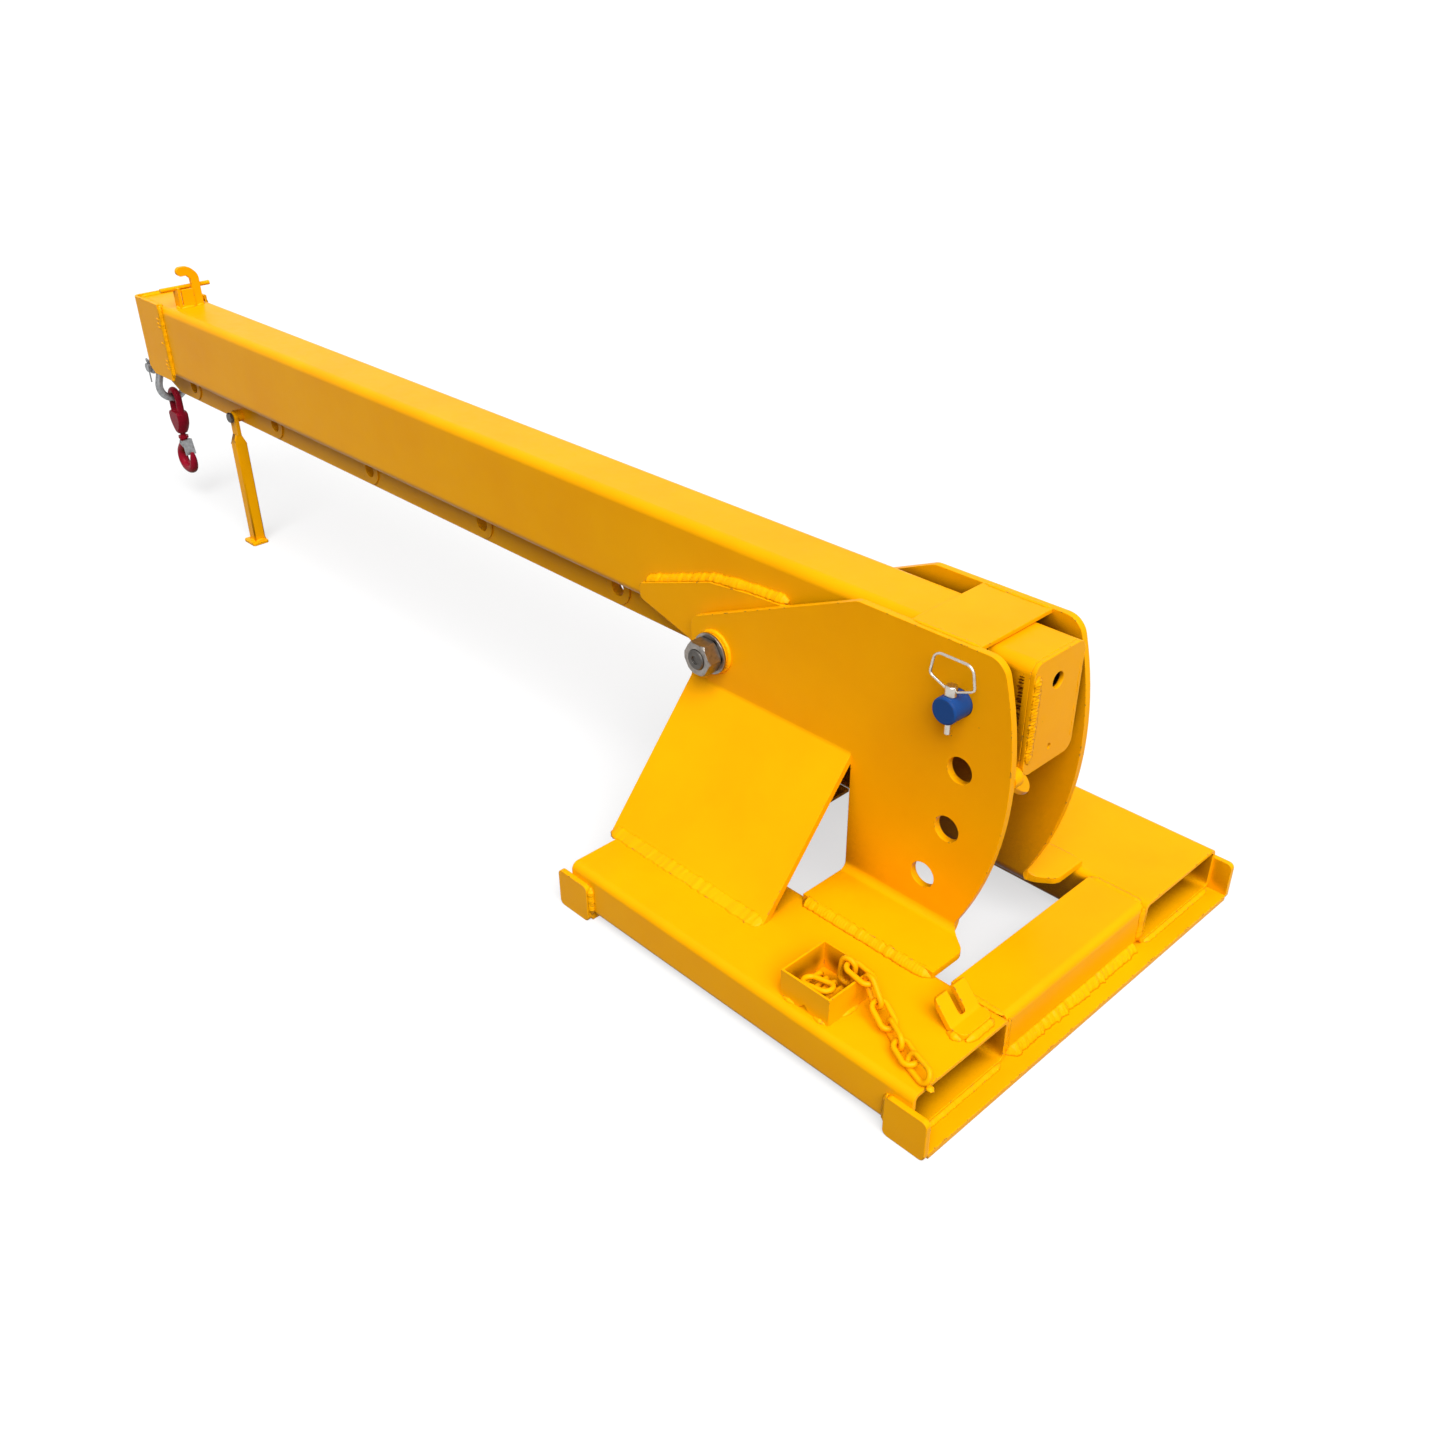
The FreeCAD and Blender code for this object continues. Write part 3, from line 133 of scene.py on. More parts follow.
# Fork pockets: two rectangular tubes that slide over the fork blades, cut to length from hollow section and
# painted with the whole base in sprayed yellow enamel, which is scuffed to primer on the edges near the floor.
YELLOW = (0.97, 0.430, 0.0, 1)
YELLOW_THICK = (0.93, 0.380, 0.0, 1)
# The next two colours: a brown for grime with painted shade in corners, and a dark brown for painted shade on
# faces that other plates shut in.
GRIME_AND_SHADE = (0.30, 0.105, 0.01, 1)
PAINTED_SHADE = (0.17, 0.040, 0.0, 1)
PRIMER = (0.045, 0.040, 0.038, 1)
ENAMEL_SHINE = 0.34
ENAMEL_CHIPS = 0.60
PAINTED_SHADE_REACH = 0.30
GRIME_AND_SHADE_REACH = 0.018
CHIPPED_EDGE = 0.0022
CHIP_BORDER = 0.02
FLOOR_SCUFF_HEIGHT = 0.012
DRIFT_SCALE = 5
GRIME_SCALE = 70
CHIP_SCALE = 95
SPECK_SCALE = 34
PEEL_SCALE = 260
WAVE_SCALE = 26
PEEL_HEIGHT = 0.00035
WAVE_HEIGHT = 0.0012
PAINT_THICK = 0.0002
PAINTED_EDGE = 0.0009
SIDE_PLATE_EDGE = 0.0006
TURN_OF_AN_EDGE = 32
TURN_PAST_BENDS = 60
FLAT_WITHIN = 0.4
SEAM_GAP = 0.00001


def sprayed_enamel(name, colour, thick, roughness, chips):
    """Sprayed gloss enamel: a slight drift of colour, orange peel, painted shade in dark brown on faces that
    other plates shelter, grime with painted shade in corners, and chips on edges."""
    made = bpy.data.materials.new(name)
    made.use_nodes = True
    made.diffuse_color = colour
    tree = made.node_tree
    tree.nodes.clear()
    where = add_node(tree, "ShaderNodeTexCoord").outputs["Object"]
    drift = add_node(tree, "ShaderNodeTexNoise", {"Vector": where, "Scale": DRIFT_SCALE, "Detail": 4,
                                                  "Roughness": 0.6})
    spread = add_node(tree, "ShaderNodeMapRange", {"Value": drift.outputs["Fac"], "From Min": 0.35,
                                                   "From Max": 0.7})
    paint = add_node(tree, "ShaderNodeMix", {"Factor": spread.outputs[0], "A": colour, "B": thick},
                     data_type="RGBA")
    # Painted shade: where other plates shut a face in, the paint is mixed towards a dark brown, less so right
    # in the creases.
    open_sky = add_node(tree, "ShaderNodeAmbientOcclusion", {"Distance": PAINTED_SHADE_REACH}, samples=12)
    corner = add_node(tree, "ShaderNodeAmbientOcclusion", {"Distance": GRIME_AND_SHADE_REACH}, samples=6)
    painted_shade_depth = add_node(tree, "ShaderNodeMapRange", {"Value": open_sky.outputs["AO"], "From Min": 0.44,
                                                     "From Max": 0.20, "To Min": 0, "To Max": 0.94})
    clear = add_node(tree, "ShaderNodeMapRange", {"Value": corner.outputs["AO"], "From Min": 0.55,
                                                  "From Max": 0.92})
    painted_shade_share = add_node(tree, "ShaderNodeMath", {0: painted_shade_depth.outputs[0], 1: clear.outputs[0]}, operation="MULTIPLY")
    shaded_paint = add_node(tree, "ShaderNodeMix", {"Factor": painted_shade_share.outputs[0], "A": paint.outputs["Result"],
                                             "B": PAINTED_SHADE}, data_type="RGBA")
    # Grime and painted shade: close to creases, and in noisy patches, the paint is mixed towards a darker
    # brown.
    patchy = add_node(tree, "ShaderNodeTexNoise", {"Vector": where, "Scale": GRIME_SCALE, "Detail": 3})
    gather = add_node(tree, "ShaderNodeMath", {0: patchy.outputs["Fac"], 1: 0.45, 2: 0},
                      operation="MULTIPLY_ADD")
    shade = add_node(tree, "ShaderNodeMath", {0: corner.outputs["AO"], 1: gather.outputs[0]}, operation="ADD")
    grime_and_shade_share = add_node(tree, "ShaderNodeMapRange", {"Value": shade.outputs[0], "From Min": 0.75, "From Max": 0.28,
                                                  "To Min": 0, "To Max": 0.20})
    grimy_and_shaded = add_node(tree, "ShaderNodeMix", {"Factor": grime_and_shade_share.outputs[0], "A": shaded_paint.outputs["Result"],
                                             "B": GRIME_AND_SHADE}, data_type="RGBA")
    # Chips: where the surface turns over an edge, more of them close to the floor, and a few loose specks.
    turned = add_node(tree, "ShaderNodeBevel", {"Radius": CHIPPED_EDGE}, samples=4)
    facing = add_node(tree, "ShaderNodeNewGeometry")
    likeness = add_node(tree, "ShaderNodeVectorMath", {0: turned.outputs[0], 1: facing.outputs["Normal"]},
                        operation="DOT_PRODUCT")
    edge = add_node(tree, "ShaderNodeMapRange", {"Value": likeness.outputs["Value"], "From Min": 0.995,
                                                 "From Max": 0.93})
    tall = add_node(tree, "ShaderNodeSeparateXYZ", {0: where})
    low = add_node(tree, "ShaderNodeMapRange", {"Value": tall.outputs["Z"], "From Min": FLOOR_SCUFF_HEIGHT,
                                                "From Max": 0, "To Min": 0, "To Max": 0.16})
    broken = add_node(tree, "ShaderNodeTexNoise", {"Vector": where, "Scale": CHIP_SCALE, "Detail": 5,
                                                   "Roughness": 0.65})
    more = add_node(tree, "ShaderNodeMath", {0: broken.outputs["Fac"], 1: low.outputs[0]}, operation="ADD")
    flake = add_node(tree, "ShaderNodeMapRange", {"Value": more.outputs[0], "From Min": chips,
                                                  "From Max": chips + CHIP_BORDER})
    chip = add_node(tree, "ShaderNodeMath", {0: edge.outputs[0], 1: flake.outputs[0]}, operation="MULTIPLY")
    cells = add_node(tree, "ShaderNodeTexVoronoi", {"Vector": where, "Scale": SPECK_SCALE})
    dot = add_node(tree, "ShaderNodeMapRange", {"Value": cells.outputs["Distance"], "From Min": 0.030,
                                                "From Max": 0.018})
    rare = add_node(tree, "ShaderNodeMapRange", {"Value": drift.outputs["Fac"], "From Min": 0.60,
                                                 "From Max": 0.62})
    speck = add_node(tree, "ShaderNodeMath", {0: dot.outputs[0], 1: rare.outputs[0]}, operation="MULTIPLY")
    bare = add_node(tree, "ShaderNodeMath", {0: chip.outputs[0], 1: speck.outputs[0]}, operation="MAXIMUM")
    coloured = add_node(tree, "ShaderNodeMix", {"Factor": bare.outputs[0], "A": grimy_and_shaded.outputs["Result"],
                                                "B": PRIMER}, data_type="RGBA")
    peel = add_node(tree, "ShaderNodeTexNoise", {"Vector": where, "Scale": PEEL_SCALE, "Detail": 2})
    wave = add_node(tree, "ShaderNodeTexNoise", {"Vector": where, "Scale": WAVE_SCALE, "Detail": 2})
    rolled = add_node(tree, "ShaderNodeBump", {"Height": wave.outputs["Fac"], "Strength": 0.25,
                                               "Distance": WAVE_HEIGHT})
    bump = add_node(tree, "ShaderNodeBump", {"Height": peel.outputs["Fac"], "Normal": rolled.outputs[0],
                                             "Strength": 0.22, "Distance": PEEL_HEIGHT})
    sunk = add_node(tree, "ShaderNodeBump", {"Height": bare.outputs[0], "Normal": bump.outputs[0],
                                             "Strength": 0.5, "Distance": PAINT_THICK}, invert=True)
    gloss = add_node(tree, "ShaderNodeMapRange", {"Value": patchy.outputs["Fac"], "To Min": roughness - 0.06,
                                                  "To Max": roughness + 0.10})
    rough = add_node(tree, "ShaderNodeMath", {0: bare.outputs[0], 1: 0.35, 2: gloss.outputs[0]},
                     operation="MULTIPLY_ADD")
    surface = add_node(tree, "ShaderNodeBsdfPrincipled", {
        "Base Color": coloured.outputs["Result"], "Roughness": rough.outputs[0], "Normal": sunk.outputs[0],
        "Specular IOR Level": 0.06})
    add_node(tree, "ShaderNodeOutputMaterial", {"Surface": surface.outputs[0]})
    return made


yellow_enamel = sprayed_enamel("yellow_enamel", YELLOW, YELLOW_THICK, ENAMEL_SHINE, ENAMEL_CHIPS)


def dress(name, material):
    """A piece of the frame takes a finish, with room for new normals."""
    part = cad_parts[name]
    part.data.materials.clear()
    part.data.materials.append(material)
    own_normals = part.data.attributes.get("custom_normal")
    if own_normals:
        part.data.attributes.remove(own_normals)
    part.data.shade_smooth()
    return part


def paint_plate(name, material, edge=PAINTED_EDGE, sharp=TURN_OF_AN_EDGE):
    """A plate gets its finish, and the eased edges that paint leaves where it turns by over sharp degrees. One
    with tight bends in its outline needs a larger angle, or the eased edge runs past a corner."""
    part = dress(name, material)
    seams = part.modifiers.new("closed_seams", "WELD")
    seams.merge_threshold = SEAM_GAP
    faces = part.modifiers.new("whole_faces", "DECIMATE")
    faces.decimate_type = "DISSOLVE"
    faces.angle_limit = math.radians(FLAT_WITHIN)
    if edge:
        eased = part.modifiers.new("eased_edges", "BEVEL")
        eased.limit_method = "ANGLE"
        eased.angle_limit = math.radians(sharp)
        eased.width = edge
        eased.segments = 2
        eased.use_clamp_overlap = False
    flat = part.modifiers.new("flat_faces", "WEIGHTED_NORMAL")
    flat.weight = 100


for name in ("near_fork_pocket", "far_fork_pocket"):
    paint_plate(name, yellow_enamel)

# Cross beams, sole plates and end plates: bent channels between the pockets, and flat bars under their ends
# with a short upright plate lapped over each corner. All are mild steel plate, welded and sprayed together.
for name in ("rear_cross_beam", "front_cross_beam", "rear_sole_plate", "front_sole_plate", "sole_end_plates"):
    paint_plate(name, yellow_enamel)

# Side plates: two folded sheets with the row of lock pin holes, joined over the boom's tail by a strap. The
# stub inside the near one keeps the tail central. A ring stands on each where the pivot bolt goes through.
for name in ("near_side_plate", "far_side_plate"):
    paint_plate(name, yellow_enamel, SIDE_PLATE_EDGE)
for name in ("top_strap", "guide_stub", "pivot_boss_rings"):
    paint_plate(name, yellow_enamel)

# Boom: a rectangular hollow section with a plate welded over its tail, cheek plates that carry the pivot bush,
# a strip bent round the nose, and a flat bar on edge below it, with thin pads round its hanging holes.
for name in ("boom_tube", "boom_tail_tube", "tail_end_plate", "near_cheek_plate", "far_cheek_plate",
             "pivot_bush", "hook_rail", "rail_eye_pads"):
    paint_plate(name, yellow_enamel)
paint_plate("nose_wrap", yellow_enamel, sharp=TURN_PAST_BENDS)

# Welds: runs of bead with the crescent ripples of a hand-held torch, painted over with the steel. On the base
# they close the side plates' feet, the strap, the pockets, beams and soles, the chain box and the grab. On the
# boom they hold the cheek plates, tail plate, nose wrap, rail and tip bracket, and on the leg its foot.
BEAD_STEP = 0.0013
BEAD_PITCH = 0.0042
BEAD_POINTS = 7
BEAD_ROOT = 0.0008
BEAD_TAPER = 0.008
BLUNT_END = 0.4
PLAIN_CROWN = 0.12
FULL_CROWN = 0.18
RING_CROWN = 0.2
RING_STEPS = 48
SMALL_LEG = 4
SOLE_LEG = 5
PLATE_LEG = 7
PIVOT_X = sum(corner.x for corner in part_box("pivot_bolt")) / 2
PIVOT_Z = sum(corner.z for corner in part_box("pivot_bolt")) / 2


def extent(name):
    """The lowest and highest corner of a piece, in millimetres, with X along the boom from the pivot bolt."""
    return [Vector((corner.x - PIVOT_X, corner.y, corner.z)) * 1000 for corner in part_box(name)]


def spot(x, y, z):
    """A point of the frame, from millimetres with X along the boom from the pivot bolt."""
    return Vector((PIVOT_X + x / 1000, y / 1000, z / 1000))


def reach(x, y, z):
    return Vector((x, y, z)) / 1000


def corner_bead(points, one, two, ripple, crown=PLAIN_CROWN):
    """A bead in a corner between two faces, reaching the given way along each of them."""
    one, two = reach(*one), reach(*two)
    bulge = (one + two) * crown
    return [(spot(*point), one, two, bulge) for point in points], ripple


def seam_bead(points, across, high, ripple):
    """A low bead over a seam in a flat face."""
    return [(spot(*point), reach(*across), -reach(*across), reach(*high)) for point in points], ripple


def ring_bead(centre, radius, side, leg, ripple):
    """A bead round a boss that stands out along Y."""
    rail = []
    for k in range(RING_STEPS + 1):
        turn = 2 * math.pi * k / RING_STEPS
        out = Vector((math.cos(turn), 0, math.sin(turn)))
        rail.append((centre + out * radius / 1000, out * leg / 1000, reach(0, side * leg, 0),
                     (out + Vector((0, side, 0))) * leg * RING_CROWN / 1000))
    return rail, ripple


def both_sides(bead):
    """A bead on the near side, and its mirror image on the far side."""
    rail, ripple = bead
    return [bead, ([tuple(Vector((v.x, -v.y, v.z)) for v in station) for station in rail], ripple)]


def lay_bead(mesh, rail, ripple, closed=False):
    """One run of weld along a rail of (corner, reach one way, reach the other way, bulge)."""
    spans = [(b[0] - a[0]).length for a, b in zip(rail, rail[1:])]
    total = sum(spans)
    count = max(round(total / BEAD_STEP), 6)
    rings = []
    for i in range(count if closed else count + 1):
        gone = rest = total * i / count
        k = 0
        while k < len(spans) - 1 and rest > spans[k]:
            rest -= spans[k]
            k += 1
        share = min(rest / spans[k], 1)
        corner, one, two, bulge = (a.lerp(b, share) for a, b in zip(rail[k], rail[k + 1]))
        taper = 1 if closed else min(1, BLUNT_END + (1 - BLUNT_END) * min(gone, total - gone) / BEAD_TAPER)
        wander = taper * (1 + 0.16 * noise.noise(corner * 130))
        ring = []
        for j in range(BEAD_POINTS):
            s = j / (BEAD_POINTS - 1)
            lag = BEAD_PITCH * 0.8 * (1 - (2 * s - 1) ** 2)
            wave = (gone + lag) / BEAD_PITCH % 1 - 0.5
            size = wander * (1 + ripple * wave) + 0.07 * noise.noise(corner * 420 + Vector((s * 3, 0, 0)))
            ring.append(mesh.verts.new(corner + (one * (1 - s) + two * s) * size
                                       + bulge * math.sin(math.pi * s) * size * (1 + 3 * ripple * wave)))
        ring.append(mesh.verts.new(corner - bulge.normalized() * BEAD_ROOT))
        rings.append(ring)
    pairs = list(zip(rings, rings[1:] + rings[:1])) if closed else list(zip(rings, rings[1:]))
    for near, far in pairs:
        for j in range(BEAD_POINTS + 1):
            mesh.faces.new((near[j], near[j - 1], far[j - 1], far[j]))
    if not closed:
        mesh.faces.new(rings[0])
        mesh.faces.new(rings[-1][::-1])


def weld_piece(name, body, beads, rings=()):
    """All the weld of one body as one piece."""
    mesh = bmesh.new()
    for rail, ripple in beads:
        lay_bead(mesh, rail, ripple)
    for rail, ripple in rings:
        lay_bead(mesh, rail, ripple, True)
    bmesh.ops.recalc_face_normals(mesh, faces=mesh.faces)
    made = bpy.data.meshes.new(name)
    mesh.to_mesh(made)
    mesh.free()
    made.shade_smooth()
    made.materials.append(yellow_enamel)
    piece = bpy.data.objects.new(name, made)
    bpy.context.scene.collection.objects.link(piece)
    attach(piece, body)


# On both sides of the base: the side plates' leaning front legs and straight rear legs, which part at
# LEG_SPLIT, stand on the pockets, and the strap lies over the plates' tops.
LEG_SPLIT = -250
LEG_STOP = 2
FLANGE_EDGE = 162
FLANGE_TAPER_X = -440
FLANGE_END_X = -464
STRAP_STOP = 3
pocket_low, pocket_high = extent("near_fork_pocket")
side_low, side_high = extent("near_side_plate")
strap_low, strap_high = extent("top_strap")
top = pocket_high.z
foot_y, foot_z = side_high.y - 1, top - 0.5
flange_y = FLANGE_EDGE - 0.5
base_beads = []
for bead in (
    corner_bead([(LEG_SPLIT + LEG_STOP, foot_y, foot_z), (side_high.x - LEG_STOP, foot_y, foot_z)],
                (0, 14, 0), (0, -7, 8.6), ripple=0.035, crown=0.08),
    corner_bead([(LEG_SPLIT - LEG_STOP, flange_y, top), (FLANGE_TAPER_X, flange_y, top),
                 (FLANGE_END_X, FLANGE_EDGE - 4, top)],
                (0, 11, 0), (0, -1.5, 10), ripple=0.09, crown=0.14),
    seam_bead([(strap_low.x + STRAP_STOP, strap_high.y, strap_high.z),
               (strap_high.x - STRAP_STOP, strap_high.y, strap_high.z)], (0, 4, 0), (0, 0, 1.6), ripple=0.12),
):
    base_beads += both_sides(bead)

# At both ends of the base: end plates on the soles, soles under the pockets, and the beams, whose bent foot
# leaves a wide groove to fill on the sole.
PLATE_STOP = 3
BEAM_FOOT_INSET = 9
BEAM_FOOT_LEG = 20
rear_sole, front_sole = extent("rear_sole_plate"), extent("front_sole_plate")
rear_beam, front_beam = extent("rear_cross_beam"), extent("front_cross_beam")
plate_top = extent("sole_end_plates")[1].z
low, inner, outer = pocket_low.z, pocket_low.y, pocket_high.y
for sole_edge, pocket_end, beam_face, beam_lip, way in (
    (rear_sole[1].x, pocket_low.x, rear_beam[0].x, rear_beam[1].x, -1),
    (front_sole[0].x, pocket_high.x, front_beam[1].x, front_beam[0].x, 1),
):
    beam_foot = beam_face - BEAM_FOOT_INSET * way
    for bead in (
        corner_bead([(sole_edge, outer, low + PLATE_STOP), (sole_edge, outer, plate_top - PLATE_STOP)],
                    (-PLATE_LEG * way, 0, 0), (0, PLATE_LEG, 0), ripple=0.20),
        corner_bead([(pocket_end, inner + 10, low), (pocket_end, outer - 8, low)],
                    (6 * way, 0, 0), (0, 0, SOLE_LEG), ripple=0.16),
        corner_bead([(beam_face, inner - 2, low + 9), (beam_face, inner - 2, top - 5)],
                    (0, -PLATE_LEG, 0), (4 * way, 3, 0), ripple=0.18),
        seam_bead([(beam_face - 6 * way, inner + 1, top - 1), (beam_lip + 3 * way, inner + 1, top - 1)],
                  (0, 6, 0.6), (0, 0, 2.4), ripple=0.10),
    ):
        base_beads += both_sides(bead)
    base_beads.append(corner_bead([(beam_foot, PLATE_LEG - inner, low), (beam_foot, inner - PLATE_LEG, low)],
                                  (BEAM_FOOT_LEG * way, 0, 0), (9.4 * way, 0, 13), ripple=0.04, crown=0.05))

# On the near pocket alone: three sides of the chain grab's foot, short runs round the chain box, and the dab
# that holds the chain's end link.
GRAB_FOOT = 24
GRAB_CORNER = 4
BOX_RUN = 18
BOX_CORNER = 5
BOX_SIDE_RUN = (25, 53)
grab_low, grab_high = extent("chain_grab")
box_low, box_high = extent("chain_box")
base_beads.append(corner_bead([(grab_low.x, grab_low.y + 2, top), (grab_low.x, grab_high.y - 2, top)],
                              (-8, 0, 0), (0, 0, PLATE_LEG), ripple=0.06, crown=FULL_CROWN))
for y, way in ((grab_low.y, -1), (grab_high.y, 1)):
    base_beads.append(corner_bead([(grab_low.x + GRAB_CORNER, y, top), (grab_low.x + GRAB_FOOT, y, top)],
                                  (0, PLATE_LEG * way, 0), (0, 0, PLATE_LEG), ripple=0.06, crown=FULL_CROWN))
for x, way in ((box_low.x, -1), (box_high.x, 1)):
    base_beads.append(corner_bead([(x, box_low.y + along, top) for along in BOX_SIDE_RUN],
                                  (SMALL_LEG * way, 0, 0), (0, 0, SMALL_LEG), ripple=0.12))
for x in (box_low.x + BOX_CORNER, box_high.x - BOX_CORNER - BOX_RUN):
    base_beads.append(corner_bead([(x, box_high.y, top), (x + BOX_RUN, box_high.y, top)],
                                  (0, SMALL_LEG, 0), (0, 0, SMALL_LEG), ripple=0.12))
base_beads.append(seam_bead([(pocket_low.x - 10, outer - 20, top + 1), (pocket_low.x, outer - 24, top + 3)],
                            (3, 6, 0), (0, 0, 4), ripple=0.10))
SIDE_THICK = 10
BOSS_RADIUS = 28
BOSS_LEG = 4.5
boss_foot = side_low.y + SIDE_THICK
boss_rings = [ring_bead(spot(0, boss_foot * way, PIVOT_Z * 1000), BOSS_RADIUS, way, BOSS_LEG, ripple=0.14)
              for way in (1, -1)]
weld_piece("base_welds", "base", base_beads, boss_rings)

# On both sides of the boom: the cheek plates' tops and front ends, the tail plate's wide bead, the nose wrap's
# rear edge and top, and the stitches that hold the hook rail.
CHEEK_TOP = ((172, 361), (29, 410), (-46, 419), (-110, 423))
CHEEK_FRONT = ((176, 357), (175, 340))
TAIL_STOP = 12
STITCHES = 9
STITCH_START = 120
STITCH_PITCH = 175
STITCH_LENGTH = 75
tube_low, tube_high = extent("boom_tube")
tail = extent("tail_end_plate")[0].x
wrap_low, wrap_high = extent("nose_wrap")
rail_y = extent("hook_rail")[1].y
half, under, over = tube_high.y, tube_low.z, tube_high.z
boom_beads = []
for bead in (
    corner_bead([(x, half, z) for x, z in CHEEK_TOP], (0, 0, 11), (0, 10, 0), ripple=0.12),
    corner_bead([(x, half, z) for x, z in CHEEK_FRONT], (PLATE_LEG, 0, 0), (0, 9, 0), ripple=0.12),
    corner_bead([(tail + 4, half - 1, over - TAIL_STOP), (tail + 4, half - 1, under + TAIL_STOP)],
                (-4.4, -5, 0), (15, 1.4, 0), ripple=0.30, crown=0.16),
    corner_bead([(wrap_low.x, half, under), (wrap_low.x, half, over + 2)], (-8, 0, 0), (0, 6, 0), ripple=0.26),
    corner_bead([(wrap_low.x + 2, half - 1, over - 5), (wrap_high.x - 15, half - 1, over - 5)],
                (0, -12, 5), (0, 0, 8), ripple=0.10),
):
    boom_beads += both_sides(bead)
for k in range(STITCHES):
    start = STITCH_START + k * STITCH_PITCH
    boom_beads += both_sides(corner_bead([(start, rail_y, under), (start + STITCH_LENGTH, rail_y, under)],
                                         (0, SOLE_LEG, 0), (0, 0, -SOLE_LEG), ripple=0.16))

# On the boom's near side alone: dabs on the nose wrap and a coarse run down the tail plate. Across its top: the
# nose wrap's front edge and the feet of the tip bracket and hook bar.
NOSE_DABS = ((1709, 344), (1712, 352), (1709, 361), (1711, 398), (1709, 432), (1712, 440), (1710, 449))
DAB_HALF = 5
TAIL_SEAM_STOP = 17
bracket_low, bracket_high = extent("tip_bracket")
bar_low, bar_high = extent("tip_hook_bar")
for x, z in NOSE_DABS:
    boom_beads.append(seam_bead([(x - DAB_HALF, wrap_high.y, z), (x + DAB_HALF, wrap_high.y, z + 2)],
                                (0, 0, 3.6), (0, 1.8, 0), ripple=0.15))
boom_beads += [
    seam_bead([(tail, half - 8.5, over - TAIL_SEAM_STOP), (tail, half - 8.5, under + TAIL_SEAM_STOP)],
              (0, 8, 0), (-2.4, 0, 0), ripple=0.36),
    corner_bead([(tube_high.x, 10 - half, over), (tube_high.x, half - 10, over)],
                (-SOLE_LEG, 0, 0), (0, 0, SOLE_LEG), ripple=0.10),
]
for first, last, way in (
    ((bracket_low.x + 2, bracket_high.y), (bracket_high.x - 2, bracket_high.y), (0, 1)),
    ((bracket_low.x, bracket_low.y + 2), (bracket_low.x, bracket_high.y - 2), (-1, 0)),
    ((bar_low.x, bar_low.y + 1), (bar_low.x, bracket_low.y - 2), (-1, 0)),
    ((bar_high.x, bar_low.y + 1), (bar_high.x, bracket_low.y - 2), (1, 0)),
    ((bar_low.x + 1, bar_low.y), (bar_high.x - 1, bar_low.y), (0, -1)),
):
    boom_beads.append(corner_bead([(*first, over), (*last, over)], (SMALL_LEG * way[0], SMALL_LEG * way[1], 0),
                                  (0, 0, SMALL_LEG), ripple=0.12))
weld_piece("boom_welds", "boom", boom_beads)

# Round the support leg's foot: one short run along each face of the tube.
LEG_CORNER = 2.5
leg_low, leg_high = extent("leg_tube")
foot = leg_low.z
leg_beads = []
for x, y, way in ((leg_low.x, leg_low.y, -1), (leg_high.x, leg_high.y, 1)):
    leg_beads += [
        corner_bead([(leg_low.x + LEG_CORNER, y, foot), (leg_high.x - LEG_CORNER, y, foot)],
                    (0, SMALL_LEG * way, 0), (0, 0, SMALL_LEG), ripple=0.14),
        corner_bead([(x, leg_low.y + LEG_CORNER, foot), (x, leg_high.y - LEG_CORNER, foot)],
                    (SMALL_LEG * way, 0, 0), (0, 0, SMALL_LEG), ripple=0.14),
    ]
weld_piece("leg_welds", "support_leg", leg_beads)

# Tip bracket: a slotted angle of thin steel, a flat bar bent into a hook and a round cross rod. All three are
# welded on the boom's top near the nose and painted with it.
FITTING_EDGE = 0.0007

for name in ("tip_bracket", "tip_hook_bar", "tip_cross_rod"):
    paint_plate(name, yellow_enamel, FITTING_EDGE)

# Support leg: a square steel tube welded on a small foot plate, hung beside the rail on a bolt by a flat
# tongue, with a short spacer on the bolt. The tube keeps the corners that it has.
SPACER_EDGE = 0.0003

paint_plate("leg_tube", yellow_enamel, edge=0)
paint_plate("leg_spacer", yellow_enamel, SPACER_EDGE)
for name in ("leg_tongue", "leg_foot_plate"):
    paint_plate(name, yellow_enamel, FITTING_EDGE)

# Chain box and chain grab: thin steel plate welded into an open square, and a bent tab with a slot that holds a
# link. Both are welded on the near pocket's top.
THIN_PLATE_EDGE = 0.0004

paint_plate("chain_box", yellow_enamel, THIN_PLATE_EDGE)
paint_plate("chain_grab", yellow_enamel, sharp=TURN_PAST_BENDS)

# Pivot hardware: a dark steel bolt with zinc plated washers and nut. The support leg hangs on a smaller bolt
# and nut of the same dark steel. Both finishes have fine turning marks under a slightly cloudy film.
ZINC = (0.33, 0.30, 0.27, 1)
DARK_STEEL = (0.13, 0.12, 0.11, 1)
# The near black that the metal is mixed towards close to its corners.
METAL_CORNER_DARK = (0.02, 0.018, 0.015, 1)
FILM_SCALE = 140
MARK_SCALE = 900
MARK_HEIGHT = 0.0001
CORNER_DARK_REACH = 0.006
HARDWARE_EDGE = 0.0006
SMALL_BOLT_EDGE = 0.0004


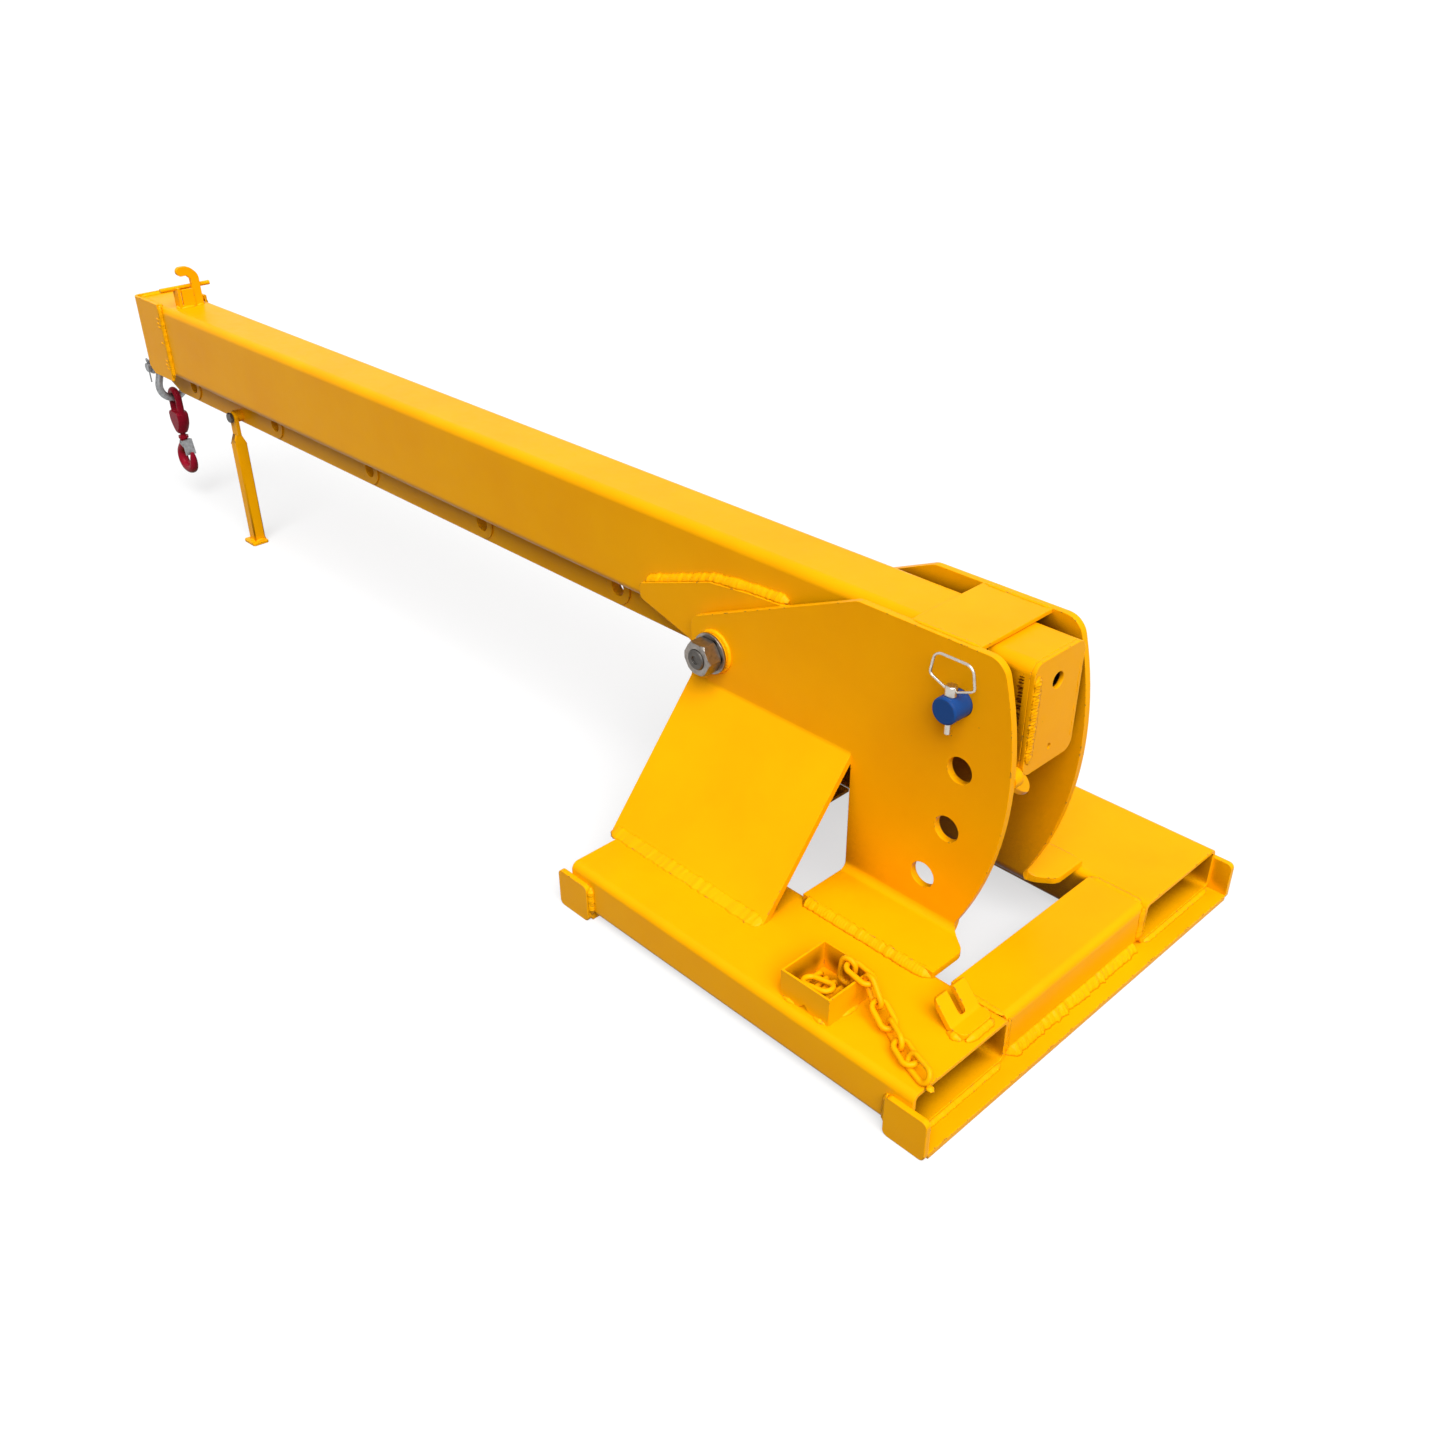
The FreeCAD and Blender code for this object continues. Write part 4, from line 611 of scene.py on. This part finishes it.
def plated_steel(name, colour, roughness, cloud):
    """Bare or plated steel: fine scratches, a cloudy film, and a darker colour in the corners."""
    made = bpy.data.materials.new(name)
    made.use_nodes = True
    made.diffuse_color = colour
    tree = made.node_tree
    tree.nodes.clear()
    where = add_node(tree, "ShaderNodeTexCoord").outputs["Object"]
    film = add_node(tree, "ShaderNodeTexNoise", {"Vector": where, "Scale": FILM_SCALE, "Detail": 5,
                                                 "Roughness": 0.6})
    # Darker towards corners: within a few millimetres of a corner, the metal is mixed towards near black.
    corner = add_node(tree, "ShaderNodeAmbientOcclusion", {"Distance": CORNER_DARK_REACH}, samples=6)
    corner_dark = add_node(tree, "ShaderNodeMapRange", {"Value": corner.outputs["AO"], "From Min": 0.25,
                                                 "From Max": 0.8, "To Min": 0.35, "To Max": 1})
    tint = add_node(tree, "ShaderNodeMapRange", {"Value": film.outputs["Fac"], "From Min": 0.3,
                                                 "From Max": 0.75, "To Min": 1, "To Max": 1 - cloud})
    dark = add_node(tree, "ShaderNodeMath", {0: tint.outputs[0], 1: corner_dark.outputs[0]}, operation="MULTIPLY")
    metal = add_node(tree, "ShaderNodeMix", {"Factor": dark.outputs[0], "A": METAL_CORNER_DARK, "B": colour},
                     data_type="RGBA")
    gloss = add_node(tree, "ShaderNodeMapRange", {"Value": film.outputs["Fac"], "To Min": roughness,
                                                  "To Max": roughness + cloud * 0.6})
    marks = add_node(tree, "ShaderNodeTexNoise", {"Vector": where, "Scale": MARK_SCALE, "Detail": 2})
    bump = add_node(tree, "ShaderNodeBump", {"Height": marks.outputs["Fac"], "Strength": 0.25,
                                             "Distance": MARK_HEIGHT})
    surface = add_node(tree, "ShaderNodeBsdfPrincipled", {
        "Base Color": metal.outputs["Result"], "Roughness": gloss.outputs[0], "Normal": bump.outputs[0],
        "Metallic": 1})
    add_node(tree, "ShaderNodeOutputMaterial", {"Surface": surface.outputs[0]})
    return made


bright_zinc = plated_steel("bright_zinc", ZINC, 0.20, 0.5)
for name in ("pivot_washers", "pivot_nut"):
    paint_plate(name, bright_zinc, HARDWARE_EDGE)
dark_steel = plated_steel("dark_steel", DARK_STEEL, 0.32, 0.5)
paint_plate("pivot_bolt", dark_steel, HARDWARE_EDGE)
for name in ("leg_bolt", "leg_nut"):
    paint_plate(name, dark_steel, SMALL_BOLT_EDGE)

# Safety chain: short welded links of round steel wire, painted over with the base. One end is welded on the
# pocket, and the rest lies in the chain box.
TURN_OF_A_ROUND = 38


def corners_kept():
    """The node group that closes seams and leaves only real corners sharp."""
    group = bpy.data.node_groups.get("corners_kept")
    if group:
        return group
    group = bpy.data.node_groups.new("corners_kept", "GeometryNodeTree")
    group.interface.new_socket("Geometry", in_out="INPUT", socket_type="NodeSocketGeometry")
    group.interface.new_socket("Geometry", in_out="OUTPUT", socket_type="NodeSocketGeometry")
    start = add_node(group, "NodeGroupInput")
    closed = add_node(group, "GeometryNodeMergeByDistance", {"Geometry": start.outputs[0],
                                                             "Distance": SEAM_GAP})
    angle = add_node(group, "GeometryNodeInputMeshEdgeAngle")
    corner = add_node(group, "FunctionNodeCompare", {0: angle.outputs[0], 1: math.radians(TURN_OF_A_ROUND)},
                      operation="GREATER_THAN")
    smooth = add_node(group, "GeometryNodeSetShadeSmooth", {
        "Geometry": closed.outputs[0], "Shade Smooth": True}, domain="FACE")
    sharp = add_node(group, "GeometryNodeSetShadeSmooth", {
        "Geometry": smooth.outputs[0], "Selection": corner.outputs[0], "Shade Smooth": False}, domain="EDGE")
    add_node(group, "NodeGroupOutput", {0: sharp.outputs[0]})
    return group


def paint_round(name, material):
    """A forged or bent round piece of the frame gets its finish, smooth but for its real corners."""
    shading = dress(name, material).modifiers.new("smooth_but_corners", "NODES")
    shading.node_group = corners_kept()


for name in ("chain_pile", "chain_run", "chain_anchor"):
    paint_round(name, yellow_enamel)

# Lock pin: a round steel bar in blue enamel that slides through both side plates. A plated linch pin with its
# spring wire ring goes through its end and keeps it there.
BLUE = (0.013, 0.065, 0.238, 1)
BLUE_THICK = (0.012, 0.060, 0.24, 1)
SPRING_STEEL = (0.62, 0.58, 0.52, 1)

blue_enamel = sprayed_enamel("blue_enamel", BLUE, BLUE_THICK, 0.30, 0.56)
paint_plate("lock_pin", blue_enamel, HARDWARE_EDGE)
spring_steel = plated_steel("spring_steel", SPRING_STEEL, 0.20, 0.25)
for name in ("linch_pin", "linch_ring"):
    paint_round(name, spring_steel)

# Bow shackle: a forged, galvanised bow that hangs from the hook rail's end by a round-headed pin. A nut and a
# split pin hold the pin in place.
GALVANISED = (0.36, 0.37, 0.38, 1)

galvanised_steel = plated_steel("galvanised_steel", GALVANISED, 0.38, 0.45)
for name in ("shackle_bow", "shackle_pin", "shackle_nut", "shackle_cotter"):
    paint_round(name, galvanised_steel)

# Swivel hook: a forged bail and hook in dark red enamel, hung in the shackle's bow. A pressed grey latch on a
# small pin closes the hook's mouth.
RED = (0.33, 0.006, 0.022, 1)
RED_THICK = (0.22, 0.004, 0.018, 1)

red_enamel = sprayed_enamel("red_enamel", RED, RED_THICK, 0.30, 0.62)
for name in ("hook_eye", "hook_body"):
    paint_round(name, red_enamel)
for name in ("hook_latch", "latch_pin"):
    paint_round(name, galvanised_steel)
